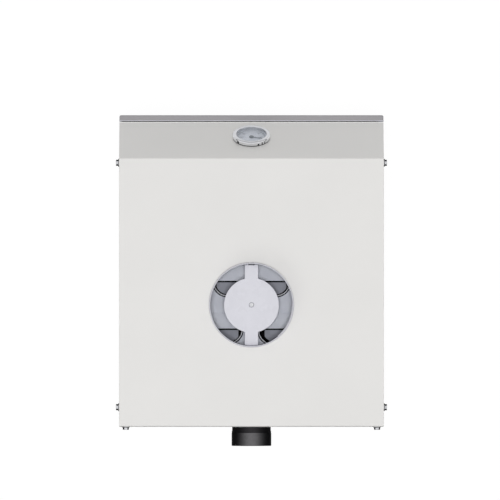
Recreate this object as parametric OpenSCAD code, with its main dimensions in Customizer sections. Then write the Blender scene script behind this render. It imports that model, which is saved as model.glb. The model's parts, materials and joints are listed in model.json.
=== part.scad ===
// Floor-standing gas boiler with a steel fire-tube heat exchanger and an atmospheric burner.
// Front is -Y, right seen from the front is +X, up is +Z. The origin lies on the floor
// under the middle of the plan outline. All sizes are millimetres.

/* [Casing] */
// Outer width of the casing
body_w = 400; // [390:1:440]
// Depth from the face of the door to the rear of the casing
body_d = 470; // [460:1:520]
// Height of the flat top of the cover above the floor
cover_top = 700; // [685:1:760]
// Thickness of the outer casing sheets
sheet = 1; // [0.8:0.1:1.5]
// Plan depth of the sloped front of the cover
slope_run = 54.4; // [45:0.1:65]
// Height of the sloped front of the cover
slope_drop = 98; // [85:1:110]
// Distance of the slope's lower edge behind the face of the door
slope_back = 10.4; // [10.2:0.1:12]
// Depth of the flanges that hang down from the cover
flange_h = 30; // [24:1:40]
// Depth of the turned-in hem at the slope's lower edge
hem_d = 12; // [8:1:16]
// Height of the side and rear panels above the floor
panel_z = 20; // [18:1:26]
// Distance of the panels' front flanges behind the face of the door
panel_back = 14; // [14:0.5:18]
// Width of the panels' front flanges
panel_flange = 18; // [16:1:22]
// Gap between the panels and the cover sheet above them
cover_gap = 0.5; // [0.3:0.1:1]

/* [Base] */
// Height of the feet below the base skirt
foot_h = 15; // [12:1:18]
// Height of the top of the base tray above the floor
base_top = 60; // [50:1:66]
// Thickness of the base sheet
base_t = 1.5; // [1:0.1:2.5]
// Radius of a foot pad
foot_r = 16; // [12:0.5:20]
// Radius of a foot stem
stem_r = 8; // [6:0.5:10]
// Distance of the foot axes from the tray's edges
foot_inset = 26; // [22:1:34]

/* [Door] */
// Overall thickness of the closed door
door_t = 9; // [8.6:0.1:9.2]
// Thickness of the inner liner of the door
liner_t = 1.2; // [0.8:0.1:1.5]
// Radius of the vertical front edges of the door
door_r = 2.4; // [1.6:0.1:3]
// Height of the lower edge of the door above the floor
door_z = 32; // [24:1:40]
// Gap between the top of the door and the lower edge of the slope
door_gap = 2; // [1.5:0.1:3]
// Radius of the hinge pins
pin_r = 2; // [1.6:0.1:2.1]
// Distance of the hinge axis from the side edge of the door
hinge_in = 5; // [4.6:0.1:5.4]
// Distance of the hinge axis behind the face of the door
hinge_back = 4.9; // [4.7:0.1:5]
// Distance of the hinges from the ends of the door
hinge_end = 60; // [50:1:90]
// Thickness of a hinge tab
tab_t = 2.5; // [2:0.1:3]
// Half width of a hinge tab
tab_r = 3; // [2.8:0.1:3.1]
// Height of a hinge lug
lug_h = 12; // [9:1:16]
// Running clearance of hinges and other loose fits
run_gap = 0.3; // [0.25:0.01:0.35]
// Width of the recessed door pull
pull_w = 26; // [22:1:34]
// Height of the recessed door pull
pull_h = 90; // [70:1:110]
// Depth of the recessed door pull
pull_d = 12; // [10.5:0.5:13]
// Wall of the recessed door pull
pull_wall = 1.5; // [1:0.1:2]
// Width of an air slot in the door
vent_w = 34; // [28:1:40]
// Height of an air slot in the door
vent_h = 5; // [4:0.5:7]

/* [Fasteners] */
// Distance of the front cover screws behind the face of the door
screw_front = 72.3; // [70:0.1:90]
// Distance of the rear cover screws from the rear of the casing
screw_rear = 29.3; // [20:0.1:50]
// Distance of the rear panel screws from the sides of the casing
screw_side = 10.1; // [9:0.1:16]
// Radius of the flange under a screw head
screw_flange_r = 6.2; // [5.5:0.1:7]
// Thickness of the flange under a screw head
screw_flange_t = 1.5; // [1:0.1:2]
// Width of a screw head across its flats
screw_flats = 8; // [7:0.1:9]
// Height of a whole screw head
screw_head = 4.7; // [4:0.1:6]
// Radius of a screw shank
screw_r = 2; // [1.6:0.1:2.4]
// Length of a screw shank
screw_len = 9; // [6:0.5:12]

/* [Flue] */
// Outer radius of the flue spigot
spigot_r = 64; // [60:0.5:68]
// Wall of the flue spigot
spigot_wall = 2.2; // [1.5:0.1:3]
// Height of the flue spigot above the cover
spigot_out = 40; // [30:1:60]
// Distance of the flue axis from the rear of the casing
flue_back = 183.6; // [180:0.1:190]
// Gap between the flue spigot and the cover
spigot_gap = 1; // [0.8:0.1:3]
// Width of the foot ring of the flue spigot
spigot_foot = 12; // [8:1:16]
// Height of the smoke hood
hood_h = 60; // [50:1:66]
// Thickness of the smoke hood sheet
hood_t = 1.5; // [1:0.1:2]
// Width of the foot flange of the smoke hood
hood_foot = 8; // [6:1:12]
// Radius of the draught deflector disc
disc_r = 41.3; // [36:0.1:46]
// Width of the deflector's strap
strap_w = 20; // [16:1:24]
// Thickness of the deflector sheet
disc_t = 1.2; // [0.8:0.1:2]
// Depth of the deflector below the rim of the spigot
disc_drop = 12; // [8:1:20]
// Length of the deflector's bent ends
strap_leg = 16; // [10:1:20]

/* [Heat exchanger] */
// Depth of the room behind the door's face for the gas valve and its controls
front_room = 120; // [118:1:122]
// Least thickness of the insulation at the sides
side_ins = 20; // [12:1:22]
// Least thickness of the insulation at the rear
rear_ins = 12; // [8:1:16]
// Distance between fire tubes across
tube_px = 76.4; // [70:0.1:78]
// Distance between fire tubes from front to rear
tube_py = 72; // [66:0.1:74]
// Outer radius of a fire tube
tube_r = 22.5; // [20:0.1:24]
// Wall of a fire tube
tube_wall = 2; // [1.5:0.1:3]
// Height of a fire tube end above the upper tube plate
tube_proud = 3; // [2:0.5:5]
// Distance between the lower and the upper tube plate
tube_gap = 240; // [225:1:250]
// Thickness of the tube plates
plate_t = 8; // [6:0.5:10]
// Distance from the outer tubes to the firebox wall
tube_margin = 4; // [2:0.5:6]
// Height of the firebox
firebox_h = 190; // [175:1:200]
// Wall of the firebox
firebox_t = 5; // [4:0.5:6]
// Width of the water space round the firebox
water_gap = 20; // [16:1:22]
// Wall of the outer shell
shell_t = 4; // [3:0.5:5]
// Height of the space for the burner under the exchanger
burner_space = 90; // [86:1:96]
// Thickness of the insulation in front of the exchanger
front_ins = 20; // [12:1:24]
// Gap between the insulation and the side panels
ins_gap = 3; // [1:0.5:5]
// Gap between the insulation and the rear panel
ins_rear_gap = 1.6; // [0.6:0.1:3]
// Thickness of the turbulator sheet
turb_t = 1.2; // [0.8:0.1:1.6]
// Depth of the turbulator's flange over the tube ends
turb_flange = 23.7; // [18:0.1:25]
// Length of a turbulator leg
turb_leg = 200; // [150:1:220]
// Gap between the two legs of a turbulator
turb_bend = 2.2; // [1.6:0.1:3]
// Width of a turbulator leg
turb_w = 33; // [28:0.5:34]
// Radius of the turbulator's baffles
baffle_r = 18.6; // [16:0.1:19]
// Depth of the first baffle below the flange
baffle_drop = 15; // [10:1:20]

/* [Pipes] */
// Radius of a water connection's thread, for a G2 union
thread_r = 29.8; // [29:0.1:30.5]
// Length of a water connection's thread
thread_len = 20; // [16:0.5:26]
// Radius of a water pipe
pipe_r = 29.2; // [28:0.1:29.8]
// Bore radius of a water pipe
pipe_bore = 25; // [22:0.5:26]
// Length of plain water pipe outside the casing
neck_len = 10.3; // [6:0.1:13]
// Distance of the flow pipe's axis below the upper tube plate
flow_drop = 43; // [36:1:60]
// Height of the return pipe's axis above the bottom of the exchanger
return_up = 50; // [42:1:70]
// Gap round the water pipes where they pass the rear panel
pipe_gap = 2; // [1:0.1:3]
// Radius of the gas pipe's G1/2 thread
gas_r = 10.48; // [10:0.01:11]
// Length of the gas pipe's thread
gas_thread = 16; // [12:1:20]
// Distance of the gas pipe from the side of the casing
gas_side = 28; // [26:1:32]
// Height of the gas pipe above the base tray
gas_up = 40; // [30:1:46]
// Radius of the hole for the gas pipe
gas_hole = 20; // [17:0.5:21]

/* [Burner and gas valve] */
// Distance between the burner tubes
burner_pitch = 60; // [54:1:64]
// Radius of a burner tube
burner_r = 18; // [14:0.5:20]
// Wall of a burner tube
burner_wall = 1.5; // [1:0.1:2]
// Height of the burner axes above the base tray
burner_up = 58; // [54:1:60]
// Radius of a burner's mouth
mouth_r = 10; // [8:0.5:11]
// Length of a burner's mouth in front of the exchanger
mouth_len = 24; // [20:1:28]
// Distance of the gas rail in front of the exchanger
rail_out = 55; // [53:0.5:60]
// Radius of the gas rail
rail_r = 11; // [9:0.5:12]
// Thickness of the burner plate
burner_plate_t = 3; // [2:0.5:4]
// Width of the gas valve
valve_w = 80; // [70:1:90]
// Depth of the gas valve
valve_d = 50; // [44:1:54]
// Height of the gas valve
valve_h = 55; // [50:1:60]
// Height of the gas valve above the burner axes
valve_up = 52; // [48:1:60]
// Radius of the control knob
knob_r = 21; // [17:0.5:23]
// Depth of the control knob
knob_d = 17; // [14:0.5:18]
// Travel of the control knob when pressed
knob_push = 3; // [2:0.5:4]
// Radius of the igniter button
button_r = 6; // [5:0.5:7]
// Travel of the igniter button
button_push = 6; // [4:0.5:7]

/* [Thermometer] */
// Distance of the thermometer behind the face of the door
dial_back = 34.1; // [30:0.1:40]
// Outer radius of the bezel
bezel_r = 28.25; // [27:0.05:30]
// Height of the bezel above the slope
bezel_h = 7; // [6:0.1:9]
// Radius of the opening in the bezel
window_r = 22.5; // [20:0.1:23]
// Radius of the thermometer case
case_r = 25.8; // [25:0.1:26.2]
// Depth of the thermometer case behind the slope
case_d = 22; // [18:1:26]
// Radius of the pointer's hub
hub_r = 3.25; // [2.5:0.05:4]
// Length of the pointer from its axis
pointer_len = 16.7; // [14:0.1:18]
// Temperature that the pointer shows at rest, in degrees Celsius
reading = 27; // [15:1:60]

/* [Hidden] */
$fn = 48;
eps = 0.1;

// Planes of the casing
pipe_out = neck_len + thread_len;
door_y = -(body_d + pipe_out) / 2;
rear_y = door_y + body_d;
flue_y = rear_y - flue_back;
half_w = body_w / 2;
inner_w = half_w - 2 * sheet;
panel_y = door_y + panel_back;
rear_inner_y = rear_y - 2 * sheet;
slope_y = door_y + slope_back;
slope_z = cover_top - slope_drop;
slope_angle = atan2(slope_drop, slope_run);
screw_z = cover_top - flange_h / 2;
door_top = slope_z - door_gap;
hinge_x = -half_w + hinge_in;
hinge_y = door_y + hinge_back;
hinge_zs = [door_z + hinge_end, door_top - hinge_end];
lug_w = 2 * hinge_in - sheet;
bracket_t = 1.5;
bracket_h = 40;

// Planes of the heat exchanger, which holds as many tubes as the casing has room for
jacket = tube_r + tube_margin + firebox_t + water_gap + shell_t;
room_w = inner_w - ins_gap - side_ins;
room_d = min(body_d - flue_back - front_room, flue_back - 2 * sheet - ins_rear_gap - rear_ins);
tube_cols = 1 + floor(2 * (room_w - jacket) / tube_px);
tube_rows = 1 + floor(2 * (room_d - jacket) / tube_py);
fire_w = (tube_cols - 1) * tube_px + 2 * (tube_r + tube_margin);
fire_d = (tube_rows - 1) * tube_py + 2 * (tube_r + tube_margin);
fire_ow = fire_w + 2 * firebox_t;
fire_od = fire_d + 2 * firebox_t;
shell_w = fire_ow + 2 * (water_gap + shell_t);
shell_d = fire_od + 2 * (water_gap + shell_t);
exch_z = base_top + burner_space;
low_plate_z = exch_z + firebox_h;
up_plate_z = low_plate_z + plate_t + tube_gap;
exch_top = up_plate_z + plate_t;
tube_top = exch_top + tube_proud;
front_y = flue_y - shell_d / 2;
back_y = flue_y + shell_d / 2;
ring_t = 6;
tube_xs = [for (i = [0 : tube_cols - 1]) (i - (tube_cols - 1) / 2) * tube_px];
tube_ys = [for (i = [0 : tube_rows - 1]) flue_y + (i - (tube_rows - 1) / 2) * tube_py];
weld_gap = 0.15;
flow_z = up_plate_z - flow_drop;
return_z = exch_z + return_up;
hood_w = fire_w + 10;
hood_d = fire_d + 10;
hood_top = exch_top + hood_h;
spigot_top = cover_top + spigot_out;

// Planes of the burner, the gas valve and the sensors
burner_z = base_top + burner_up;
burner_count = floor(fire_w / burner_pitch);
burner_xs = [for (i = [0 : burner_count - 1]) (i - (burner_count - 1) / 2) * burner_pitch];
plate_y = front_y - burner_plate_t;
plate_w = fire_ow + 8;
plate_lap = 18;
plate_top = exch_z + plate_lap;
stand_t = 1.5;
burner_long = shell_d - 60;
rail_y = front_y - rail_out;
rail_half = burner_xs[burner_count - 1] + 22;
boss_len = 14;
valve_z = burner_z + valve_up;
valve_mid = valve_z + valve_h / 2;
valve_front = rail_y - valve_d / 2;
valve_rear = rail_y + valve_d / 2;
spindle_r = 4;
bush_r = 9;
bush_d = 6;
knob_y = valve_front - knob_push - 2;
gas_x = half_w - gas_side;
gas_z = base_top + gas_up;
pocket_r = 7;
pocket_in = 60;
pocket_z = up_plate_z - 30;
pocket_xs = [for (i = [-3, -2]) tube_xs[max(0, tube_cols + i)] + tube_px / 2];
pocket_y = front_y - front_ins - 6;
bulb_r = 4.5;
bulb_l = 50;
capillary_r = 1.2;
flame_z = burner_z + 16;
pilot_x = burner_xs[floor((burner_count - 1) / 2)] + burner_pitch / 2;
probe_gap = 13;
probe_xs = [pilot_x - probe_gap, pilot_x + probe_gap];
drop_y = front_y - front_ins - 4.5;
sight_x = pilot_x - burner_pitch;
pilot_r = 4;
couple_r = 2.2;
spark_r = 3;
lead_r = 1.5;
probe_out = 8;
probe_in = 46;
sight_z = burner_z + 10;
flap_len = 22;
flap_r = 11;
flap_pin_r = 2;
glass_r = 9;
glass_t = 2;
igniter_x = -valve_w / 2 - 40;
igniter_r = 8.8;
igniter_l = 38;
bracket_y = valve_front - bracket_t;

// Thermometer on the slope
dial_z = slope_z + (dial_back - slope_back) * slope_drop / slope_run;
rest_angle = 225 - reading * 270 / 120;
dial_t = 0.6;
dial_h = 0.2;
glass_seat = bezel_h - 1.4;

// Extrudes a Y-Z outline across X, centred
module across(w) {
    translate([-w / 2, 0, 0]) rotate([90, 0, 90]) linear_extrude(w) children();
}

// A cylinder along +Y that starts at y = 0
module rod(r, l) {
    rotate([-90, 0, 0]) cylinder(r = r, h = l);
}

// A box given by its two opposite corners
module block(a, b) {
    translate(a) cube([b[0] - a[0], b[1] - a[1], b[2] - a[2]]);
}

// A round tube or wire through a list of points
module run(points, r, corner) {
    for (i = [0 : len(points) - 2]) {
        d = points[i + 1] - points[i];
        translate(points[i])
            rotate([0, acos(d[2] / norm(d)), atan2(d[1], d[0])])
            cylinder(r = r, h = norm(d));
    }
    for (i = [1 : len(points) - 2]) translate(points[i]) sphere(r = corner);
}

// Places its children on the slope, with +Z along the slope's normal and +Y up the slope
module on_slope() {
    translate([0, door_y + dial_back, dial_z]) rotate([slope_angle, 0, 0]) children();
}

// A point of the thermometer's own frame in the frame of the boiler
function slope_point(p) = [
    p[0],
    door_y + dial_back + p[1] * cos(slope_angle) - p[2] * sin(slope_angle),
    dial_z + p[1] * sin(slope_angle) + p[2] * cos(slope_angle)
];

// Height of the slope's line, set in by t, at a given Y
function slope_line(y, t) = slope_z + (y - slope_y - t / sin(slope_angle)) * tan(slope_angle);

// The cover's inner space in Y-Z, set in by t and open down to a given height
module cover_space(t, bottom) {
    polygon([
        [slope_y + t / sin(slope_angle) + (bottom - slope_z) / tan(slope_angle), bottom],
        [slope_y + slope_run + t * tan(slope_angle / 2), cover_top - t],
        [rear_y - t, cover_top - t],
        [rear_y - t, bottom]
    ]);
}

module base_tray() {
    color("lightgray") difference() {
        block([-inner_w, panel_y + sheet, foot_h], [inner_w, rear_inner_y, base_top]);
        block([-inner_w + base_t, panel_y + sheet + base_t, foot_h - eps],
              [inner_w - base_t, rear_inner_y - base_t, base_top - base_t]);
    }
}

module feet() {
    color("dimgray")
    for (x = [-inner_w + foot_inset, inner_w - foot_inset],
         y = [panel_y + sheet + foot_inset, rear_inner_y - foot_inset])
        translate([x, y, 0]) {
            cylinder(r = foot_r, h = foot_h);
            cylinder(r = stem_r, h = base_top - base_t);
        }
}

// One side panel, drawn for the right-hand side
module side_panel() {
    inset = sheet + cover_gap;
    top_y = slope_y + slope_run + inset * tan(slope_angle / 2);
    color("whitesmoke") difference() {
        union() {
            translate([inner_w, 0, 0]) rotate([90, 0, 90]) linear_extrude(sheet) polygon([
                [panel_y, panel_z],
                [panel_y, slope_line(panel_y, inset)],
                [top_y, cover_top - inset],
                [rear_inner_y, cover_top - inset],
                [rear_inner_y, panel_z]
            ]);
            block([inner_w - panel_flange, panel_y, panel_z],
                  [inner_w + eps, panel_y + sheet, slope_z - door_gap]);
        }
        for (y = [door_y + screw_front, rear_y - screw_rear])
            translate([inner_w - 1, y, screw_z]) rotate([0, 90, 0])
                cylinder(r = screw_r + run_gap, h = 3 * sheet + 1);
    }
}

module side_panel_right() {
    side_panel();
}

module side_panel_left() {
    mirror([1, 0, 0]) side_panel();
}

module rear_panel() {
    slot_w = 44;
    slot_pitch = 56;
    slots = floor((inner_w - gas_side - gas_hole) / slot_pitch - 0.5);
    color("whitesmoke") difference() {
        block([-half_w + sheet, rear_inner_y, panel_z],
              [half_w - sheet, rear_inner_y + sheet, cover_top - sheet - cover_gap]);
        for (z = [flow_z, return_z])
            translate([0, rear_inner_y - 1, z]) rod(pipe_r + pipe_gap, 2 * sheet + 1);
        translate([gas_x, rear_inner_y - 1, gas_z]) rod(gas_hole, 2 * sheet + 1);
        for (x = [-half_w + screw_side, half_w - screw_side])
            translate([x, rear_inner_y - 1, screw_z]) rod(screw_r + run_gap, 2 * sheet + 1);
        for (i = [-slots : slots], z = [base_top + 12, base_top + 26, base_top + 40])
            block([i * slot_pitch - slot_w / 2, rear_inner_y - 1, z],
                  [i * slot_pitch + slot_w / 2, rear_inner_y + 2 * sheet, z + vent_h]);
    }
}

module top_cover() {
    band = flange_h / sin(slope_angle);
    band_z = cover_top - flange_h;
    color("whitesmoke") difference() {
        union() {
            difference() {
                across(body_w) polygon([
                    [slope_y, slope_z],
                    [slope_y + slope_run, cover_top],
                    [rear_y, cover_top],
                    [rear_y, band_z],
                    [slope_y + band + (band_z - slope_z) / tan(slope_angle), band_z],
                    [slope_y + band, slope_z]
                ]);
                across(body_w - 2 * sheet) cover_space(sheet, slope_z - 20);
            }
            block([-inner_w + run_gap, slope_y + sheet / 2, slope_z],
                  [inner_w - run_gap, slope_y + hem_d, slope_z + sheet]);
        }
        translate([0, flue_y, cover_top - 2 * sheet - 1])
            cylinder(r = spigot_r + spigot_gap, h = 3 * sheet + 2, $fn = 96);
        on_slope() translate([0, 0, -3 * sheet]) cylinder(r = case_r + run_gap, h = 6 * sheet, $fn = 96);
        for (y = [door_y + screw_front, rear_y - screw_rear])
            translate([-half_w - 1, y, screw_z]) rotate([0, 90, 0])
                cylinder(r = screw_r + run_gap, h = body_w + 2);
        for (x = [-half_w + screw_side, half_w - screw_side])
            translate([x, rear_y - 2 * sheet, screw_z]) rod(screw_r + run_gap, 3 * sheet);
    }
}

module front_rail() {
    rail_h = 32;
    rail_d = 22;
    top = slope_z - 2 * door_gap;
    color("silver") union() {
        block([-inner_w, panel_y + sheet, top - rail_h], [inner_w, panel_y + 2 * sheet, top]);
        block([-inner_w, panel_y + sheet, top - sheet], [inner_w, panel_y + sheet + rail_d, top]);
    }
}

// Plan outline of the door with rounded front edges, from the face back to depth d
module door_outline(d, inset) {
    r = door_r - inset / 2;
    translate([-half_w + inset, inset + r]) square([body_w - 2 * inset, d - inset - r]);
    translate([-half_w + inset + r, inset]) square([body_w - 2 * (inset + r), d - inset]);
    for (x = [-half_w + inset + r, half_w - inset - r]) translate([x, inset + r]) circle(r = r);
}

// The pull and the air slots that go through both sheets of the door
module door_cuts() {
    pull_x = inner_w - panel_flange - pull_w;
    translate([pull_x, door_y, (door_z + door_top) / 2])
        cube([pull_w + 2 * run_gap, 3 * door_t, pull_h + 2 * run_gap], center = true);
    for (i = [-3 : 3], z = [door_z + 22, door_z + 34, door_z + 46])
        translate([i * 48, door_y, z]) cube([vent_w, 3 * door_t, vent_h], center = true);
    for (z = hinge_zs)
        block([-half_w - 1, door_y + sheet + 0.2, z - 0.8],
              [hinge_x + tab_r + 0.6, door_y + 2 * door_t, z + tab_t + 0.8]);
}

module door_shell() {
    depth = door_t - liner_t;
    color([0.55, 0.55, 0.55]) difference() {
        translate([0, door_y, door_z]) linear_extrude(door_top - door_z) door_outline(depth, 0);
        translate([0, door_y, door_z + sheet]) linear_extrude(door_top - door_z - 2 * sheet)
            door_outline(depth + 1, sheet);
        door_cuts();
    }
}

module door_liner() {
    color("lightgray") difference() {
        block([-half_w, door_y + door_t - liner_t, door_z], [half_w, door_y + door_t, door_top]);
        door_cuts();
    }
}

module door_pull() {
    lip = 3;
    color([0.2, 0.2, 0.2])
    translate([inner_w - panel_flange - pull_w, door_y, (door_z + door_top) / 2]) difference() {
        union() {
            translate([-pull_w / 2, 0, -pull_h / 2]) cube([pull_w, pull_d, pull_h]);
            translate([-pull_w / 2 - lip, door_t, -pull_h / 2 - lip])
                cube([pull_w + 2 * lip, 1, pull_h + 2 * lip]);
        }
        translate([-pull_w / 2 + pull_wall, -1, -pull_h / 2 + pull_wall])
            cube([pull_w - 2 * pull_wall, pull_d - pull_wall + 1, pull_h - 2 * pull_wall]);
    }
}

module door_hinge_lugs() {
    color("gray")
    for (z = hinge_zs) translate([0, 0, z + tab_t + run_gap]) difference() {
        translate([0, door_y, 0]) linear_extrude(lug_h) intersection() {
            door_outline(door_t - liner_t, sheet);
            translate([-half_w, 0]) square([sheet + lug_w, door_t]);
        }
        translate([hinge_x, hinge_y, -1]) cylinder(r = pin_r + run_gap, h = lug_h + 2);
    }
}

module hinge_brackets() {
    color("gray")
    for (z = hinge_zs) union() {
        block([-inner_w, panel_y - bracket_t, z - bracket_h / 2],
              [-inner_w + panel_flange - 2, panel_y, z + bracket_h / 2]);
        translate([hinge_x, hinge_y, z]) cylinder(r = tab_r, h = tab_t);
        block([hinge_x - tab_r, hinge_y, z], [hinge_x + tab_r, panel_y - bracket_t / 2, z + tab_t]);
    }
}

module hinge_pins() {
    color("silver")
    for (z = hinge_zs)
        translate([hinge_x, hinge_y, z + tab_t]) cylinder(r = pin_r, h = lug_h - 1);
}

module magnet_catches() {
    catch_h = 40;
    color([0.25, 0.25, 0.25])
    for (z = hinge_zs)
        block([inner_w - panel_flange + 3, door_y + door_t + run_gap, z - catch_h / 2],
              [inner_w - 3, panel_y, z + catch_h / 2]);
}

// A hexagon-flange screw with its seat at the origin and its head towards +Z
module screw() {
    cylinder(r = screw_flange_r, h = screw_flange_t);
    cylinder(r = screw_flats / sqrt(3), h = screw_head, $fn = 6);
    translate([0, 0, -screw_len]) cylinder(r = screw_r, h = screw_len + eps);
}

module cover_screws() {
    color("silver") {
        for (y = [door_y + screw_front, rear_y - screw_rear]) {
            translate([half_w, y, screw_z]) rotate([0, 90, 0]) rotate([0, 0, 90]) screw();
            translate([-half_w, y, screw_z]) rotate([0, -90, 0]) rotate([0, 0, 90]) screw();
        }
        for (x = [-half_w + screw_side, half_w - screw_side])
            translate([x, rear_y, screw_z]) rotate([-90, 0, 0]) screw();
    }
}

module thermometer_case() {
    wall = 1;
    color("silver") on_slope() difference() {
        union() {
            translate([0, 0, -case_d]) cylinder(r = case_r, h = case_d + 1, $fn = 96);
            translate([0, 0, -case_d - 10]) cylinder(r = 2, h = 11);
        }
        translate([0, 0, -case_d + wall]) cylinder(r = case_r - 2 * wall, h = 2 * case_d, $fn = 96);
        translate([0, 0, dial_h]) cylinder(r = case_r - wall, h = case_d, $fn = 96);
    }
}

module thermometer_bezel() {
    color("gainsboro") on_slope() rotate_extrude($fn = 96) polygon([
        [case_r + 0.2, 0],
        [bezel_r, 0],
        [bezel_r, bezel_h * 0.45],
        [bezel_r - 0.8, bezel_h * 0.55],
        [bezel_r - 0.8, bezel_h - 1],
        [bezel_r - 1.8, bezel_h],
        [window_r, bezel_h],
        [window_r, glass_seat],
        [window_r + 1.7, glass_seat],
        [window_r + 1.7, 1],
        [case_r + 0.2, 1]
    ]);
}

module thermometer_dial() {
    color([0.82, 0.84, 0.87]) on_slope() difference() {
        translate([0, 0, dial_h]) cylinder(r = case_r - 1.1, h = dial_t, $fn = 96);
        cylinder(r = 1.2, h = 4, center = true);
    }
}

module thermometer_pointer() {
    color([0.25, 0.28, 0.32]) on_slope() union() {
        translate([0, 0, dial_h + dial_t + 0.3]) cylinder(r = hub_r, h = 1.5);
        translate([0, 0, -4]) cylinder(r = 0.9, h = 6);
        rotate([0, 0, rest_angle]) translate([0, 0, dial_h + dial_t + 0.6]) linear_extrude(0.5)
            polygon([[-6, -1], [-6, 1], [0, 0.9], [pointer_len, 0.25], [pointer_len, -0.25], [0, -0.9]]);
    }
}

module thermometer_glass() {
    color([0.85, 0.9, 0.92, 0.4]) on_slope() translate([0, 0, glass_seat - 1.6])
        cylinder(r = window_r + 1.5, h = 1.6, $fn = 96);
}

module thermometer_clamp() {
    arm = case_r + 8;
    color("silver") on_slope() difference() {
        union() {
            block([-arm, -6, -case_d - 1.5], [arm, 6, -case_d]);
            for (x = [-arm, arm - 1.5]) block([x, -6, -case_d - 1.5], [x + 1.5, 6, -sheet]);
        }
        translate([0, 0, -case_d - 5]) cylinder(r = 2 + run_gap, h = 10);
        translate([10, 0, -case_d - 5]) cylinder(r = 3, h = 10);
    }
}

module clamp_nut() {
    color("silver") on_slope() difference() {
        translate([0, 0, -case_d - 5]) cylinder(r = 4.6, h = 3.5, $fn = 6);
        translate([0, 0, -case_d - 9]) cylinder(r = 2 + weld_gap, h = 10);
    }
}

// A bulb in pocket i with its capillary to a start point
module sensor(i, points) {
    x = pocket_xs[i];
    translate([x, pocket_y + 14, pocket_z]) rod(bulb_r, bulb_l);
    run(concat(points, [[x, pocket_y - 14, pocket_z], [x, pocket_y + 15, pocket_z]]),
        capillary_r, capillary_r * 1.05);
}

module thermometer_capillary() {
    start = slope_point([10, 0, -case_d]);
    color("peru") sensor(0, [
        start,
        slope_point([10, 0, -case_d - 12]),
        [10, pocket_y - 22, pocket_z + 30]
    ]);
}

module thermostat_capillary() {
    color("peru") sensor(1, [
        [valve_w / 2 - 12, rail_y, valve_z + valve_h],
        [valve_w / 2 - 12, rail_y, valve_z + valve_h + 30],
        [tube_px, pocket_y - 14, pocket_z - 40]
    ]);
}

module flue_spigot() {
    color("lightgray") translate([0, flue_y, hood_top]) difference() {
        union() {
            cylinder(r = spigot_r, h = spigot_top - hood_top, $fn = 96);
            cylinder(r = spigot_r + spigot_foot, h = hood_t, $fn = 96);
        }
        translate([0, 0, -1])
            cylinder(r = spigot_r - spigot_wall, h = spigot_top - hood_top + 2, $fn = 96);
    }
}

module smoke_hood() {
    slot_w = 180;
    slot_h = 24;
    color("silver") difference() {
        union() {
            translate([-hood_w / 2, flue_y - hood_d / 2, exch_top]) cube([hood_w, hood_d, hood_h]);
            translate([-hood_w / 2 - hood_foot, flue_y - hood_d / 2 - hood_foot, exch_top])
                cube([hood_w + 2 * hood_foot, hood_d + 2 * hood_foot, hood_t]);
        }
        translate([-hood_w / 2 + hood_t, flue_y - hood_d / 2 + hood_t, exch_top - eps])
            cube([hood_w - 2 * hood_t, hood_d - 2 * hood_t, hood_h - hood_t + eps]);
        translate([0, flue_y, exch_top])
            cylinder(r = spigot_r - spigot_wall, h = 2 * hood_h, $fn = 96);
        block([-slot_w / 2, flue_y, exch_top + hood_h / 2],
              [slot_w / 2, flue_y + hood_d, exch_top + hood_h / 2 + slot_h]);
    }
}

// Disc and strap in one sheet, with its ends bent down along the wall of the spigot
module draught_deflector() {
    reach = spigot_r - spigot_wall - 0.1;
    slot_w = 9.5;
    color("gainsboro") translate([0, flue_y, spigot_top - disc_drop]) difference() {
        union() {
            cylinder(r = disc_r, h = disc_t, $fn = 96);
            intersection() {
                difference() {
                    cylinder(r = reach, h = disc_t, $fn = 96);
                    translate([-slot_w / 2, -reach - 1, -1]) cube([slot_w, 2.4, 4]);
                }
                translate([-strap_w / 2, -reach, 0]) cube([strap_w, 2 * reach, disc_t]);
            }
            intersection() {
                translate([0, 0, -strap_leg]) difference() {
                    cylinder(r = reach, h = strap_leg + eps, $fn = 96);
                    translate([0, 0, -1])
                        cylinder(r = reach - disc_t, h = strap_leg + 2, $fn = 96);
                    translate([-slot_w / 2, -reach - 1, strap_leg - 4]) cube([slot_w, 4, 8]);
                }
                translate([-strap_w / 2, -reach, -strap_leg])
                    cube([strap_w, 2 * reach, strap_leg + 1]);
            }
        }
        cylinder(r = 1.6, h = 8, center = true);
    }
}

module deflector_stud() {
    color("silver") translate([0, flue_y, spigot_top - disc_drop]) union() {
        translate([0, 0, disc_t]) cylinder(r = 3.25, h = 1.2);
        translate([0, 0, -2]) cylinder(r = 1.5, h = disc_t + 2.2);
    }
}

module spill_sensor() {
    color([0.2, 0.2, 0.2])
    translate([hood_w / 3, flue_y - hood_d / 2, exch_top + hood_h * 0.6]) rotate([90, 0, 0]) union() {
        cylinder(r = 8, h = 7);
        for (x = [-4, 3.2]) translate([x, -3, 6]) cube([0.8, 6, 9]);
    }
}

module outer_shell() {
    color([0.35, 0.36, 0.38]) difference() {
        block([-shell_w / 2, front_y, exch_z], [shell_w / 2, back_y, up_plate_z]);
        block([-shell_w / 2 + shell_t, front_y + shell_t, exch_z - 1],
              [shell_w / 2 - shell_t, back_y - shell_t, up_plate_z + 1]);
        for (z = [flow_z, return_z])
            translate([0, back_y - 2 * shell_t, z]) rod(pipe_bore, 3 * shell_t);
        for (x = pocket_xs)
            translate([x, front_y - 1, pocket_z]) rod(pocket_r + weld_gap, 2 * shell_t);
    }
}

module bottom_ring() {
    color([0.35, 0.36, 0.38]) difference() {
        block([-shell_w / 2 + shell_t, front_y + shell_t, exch_z],
              [shell_w / 2 - shell_t, back_y - shell_t, exch_z + ring_t]);
        block([-fire_ow / 2, flue_y - fire_od / 2, exch_z - 1],
              [fire_ow / 2, flue_y + fire_od / 2, exch_z + ring_t + 1]);
    }
}

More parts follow.
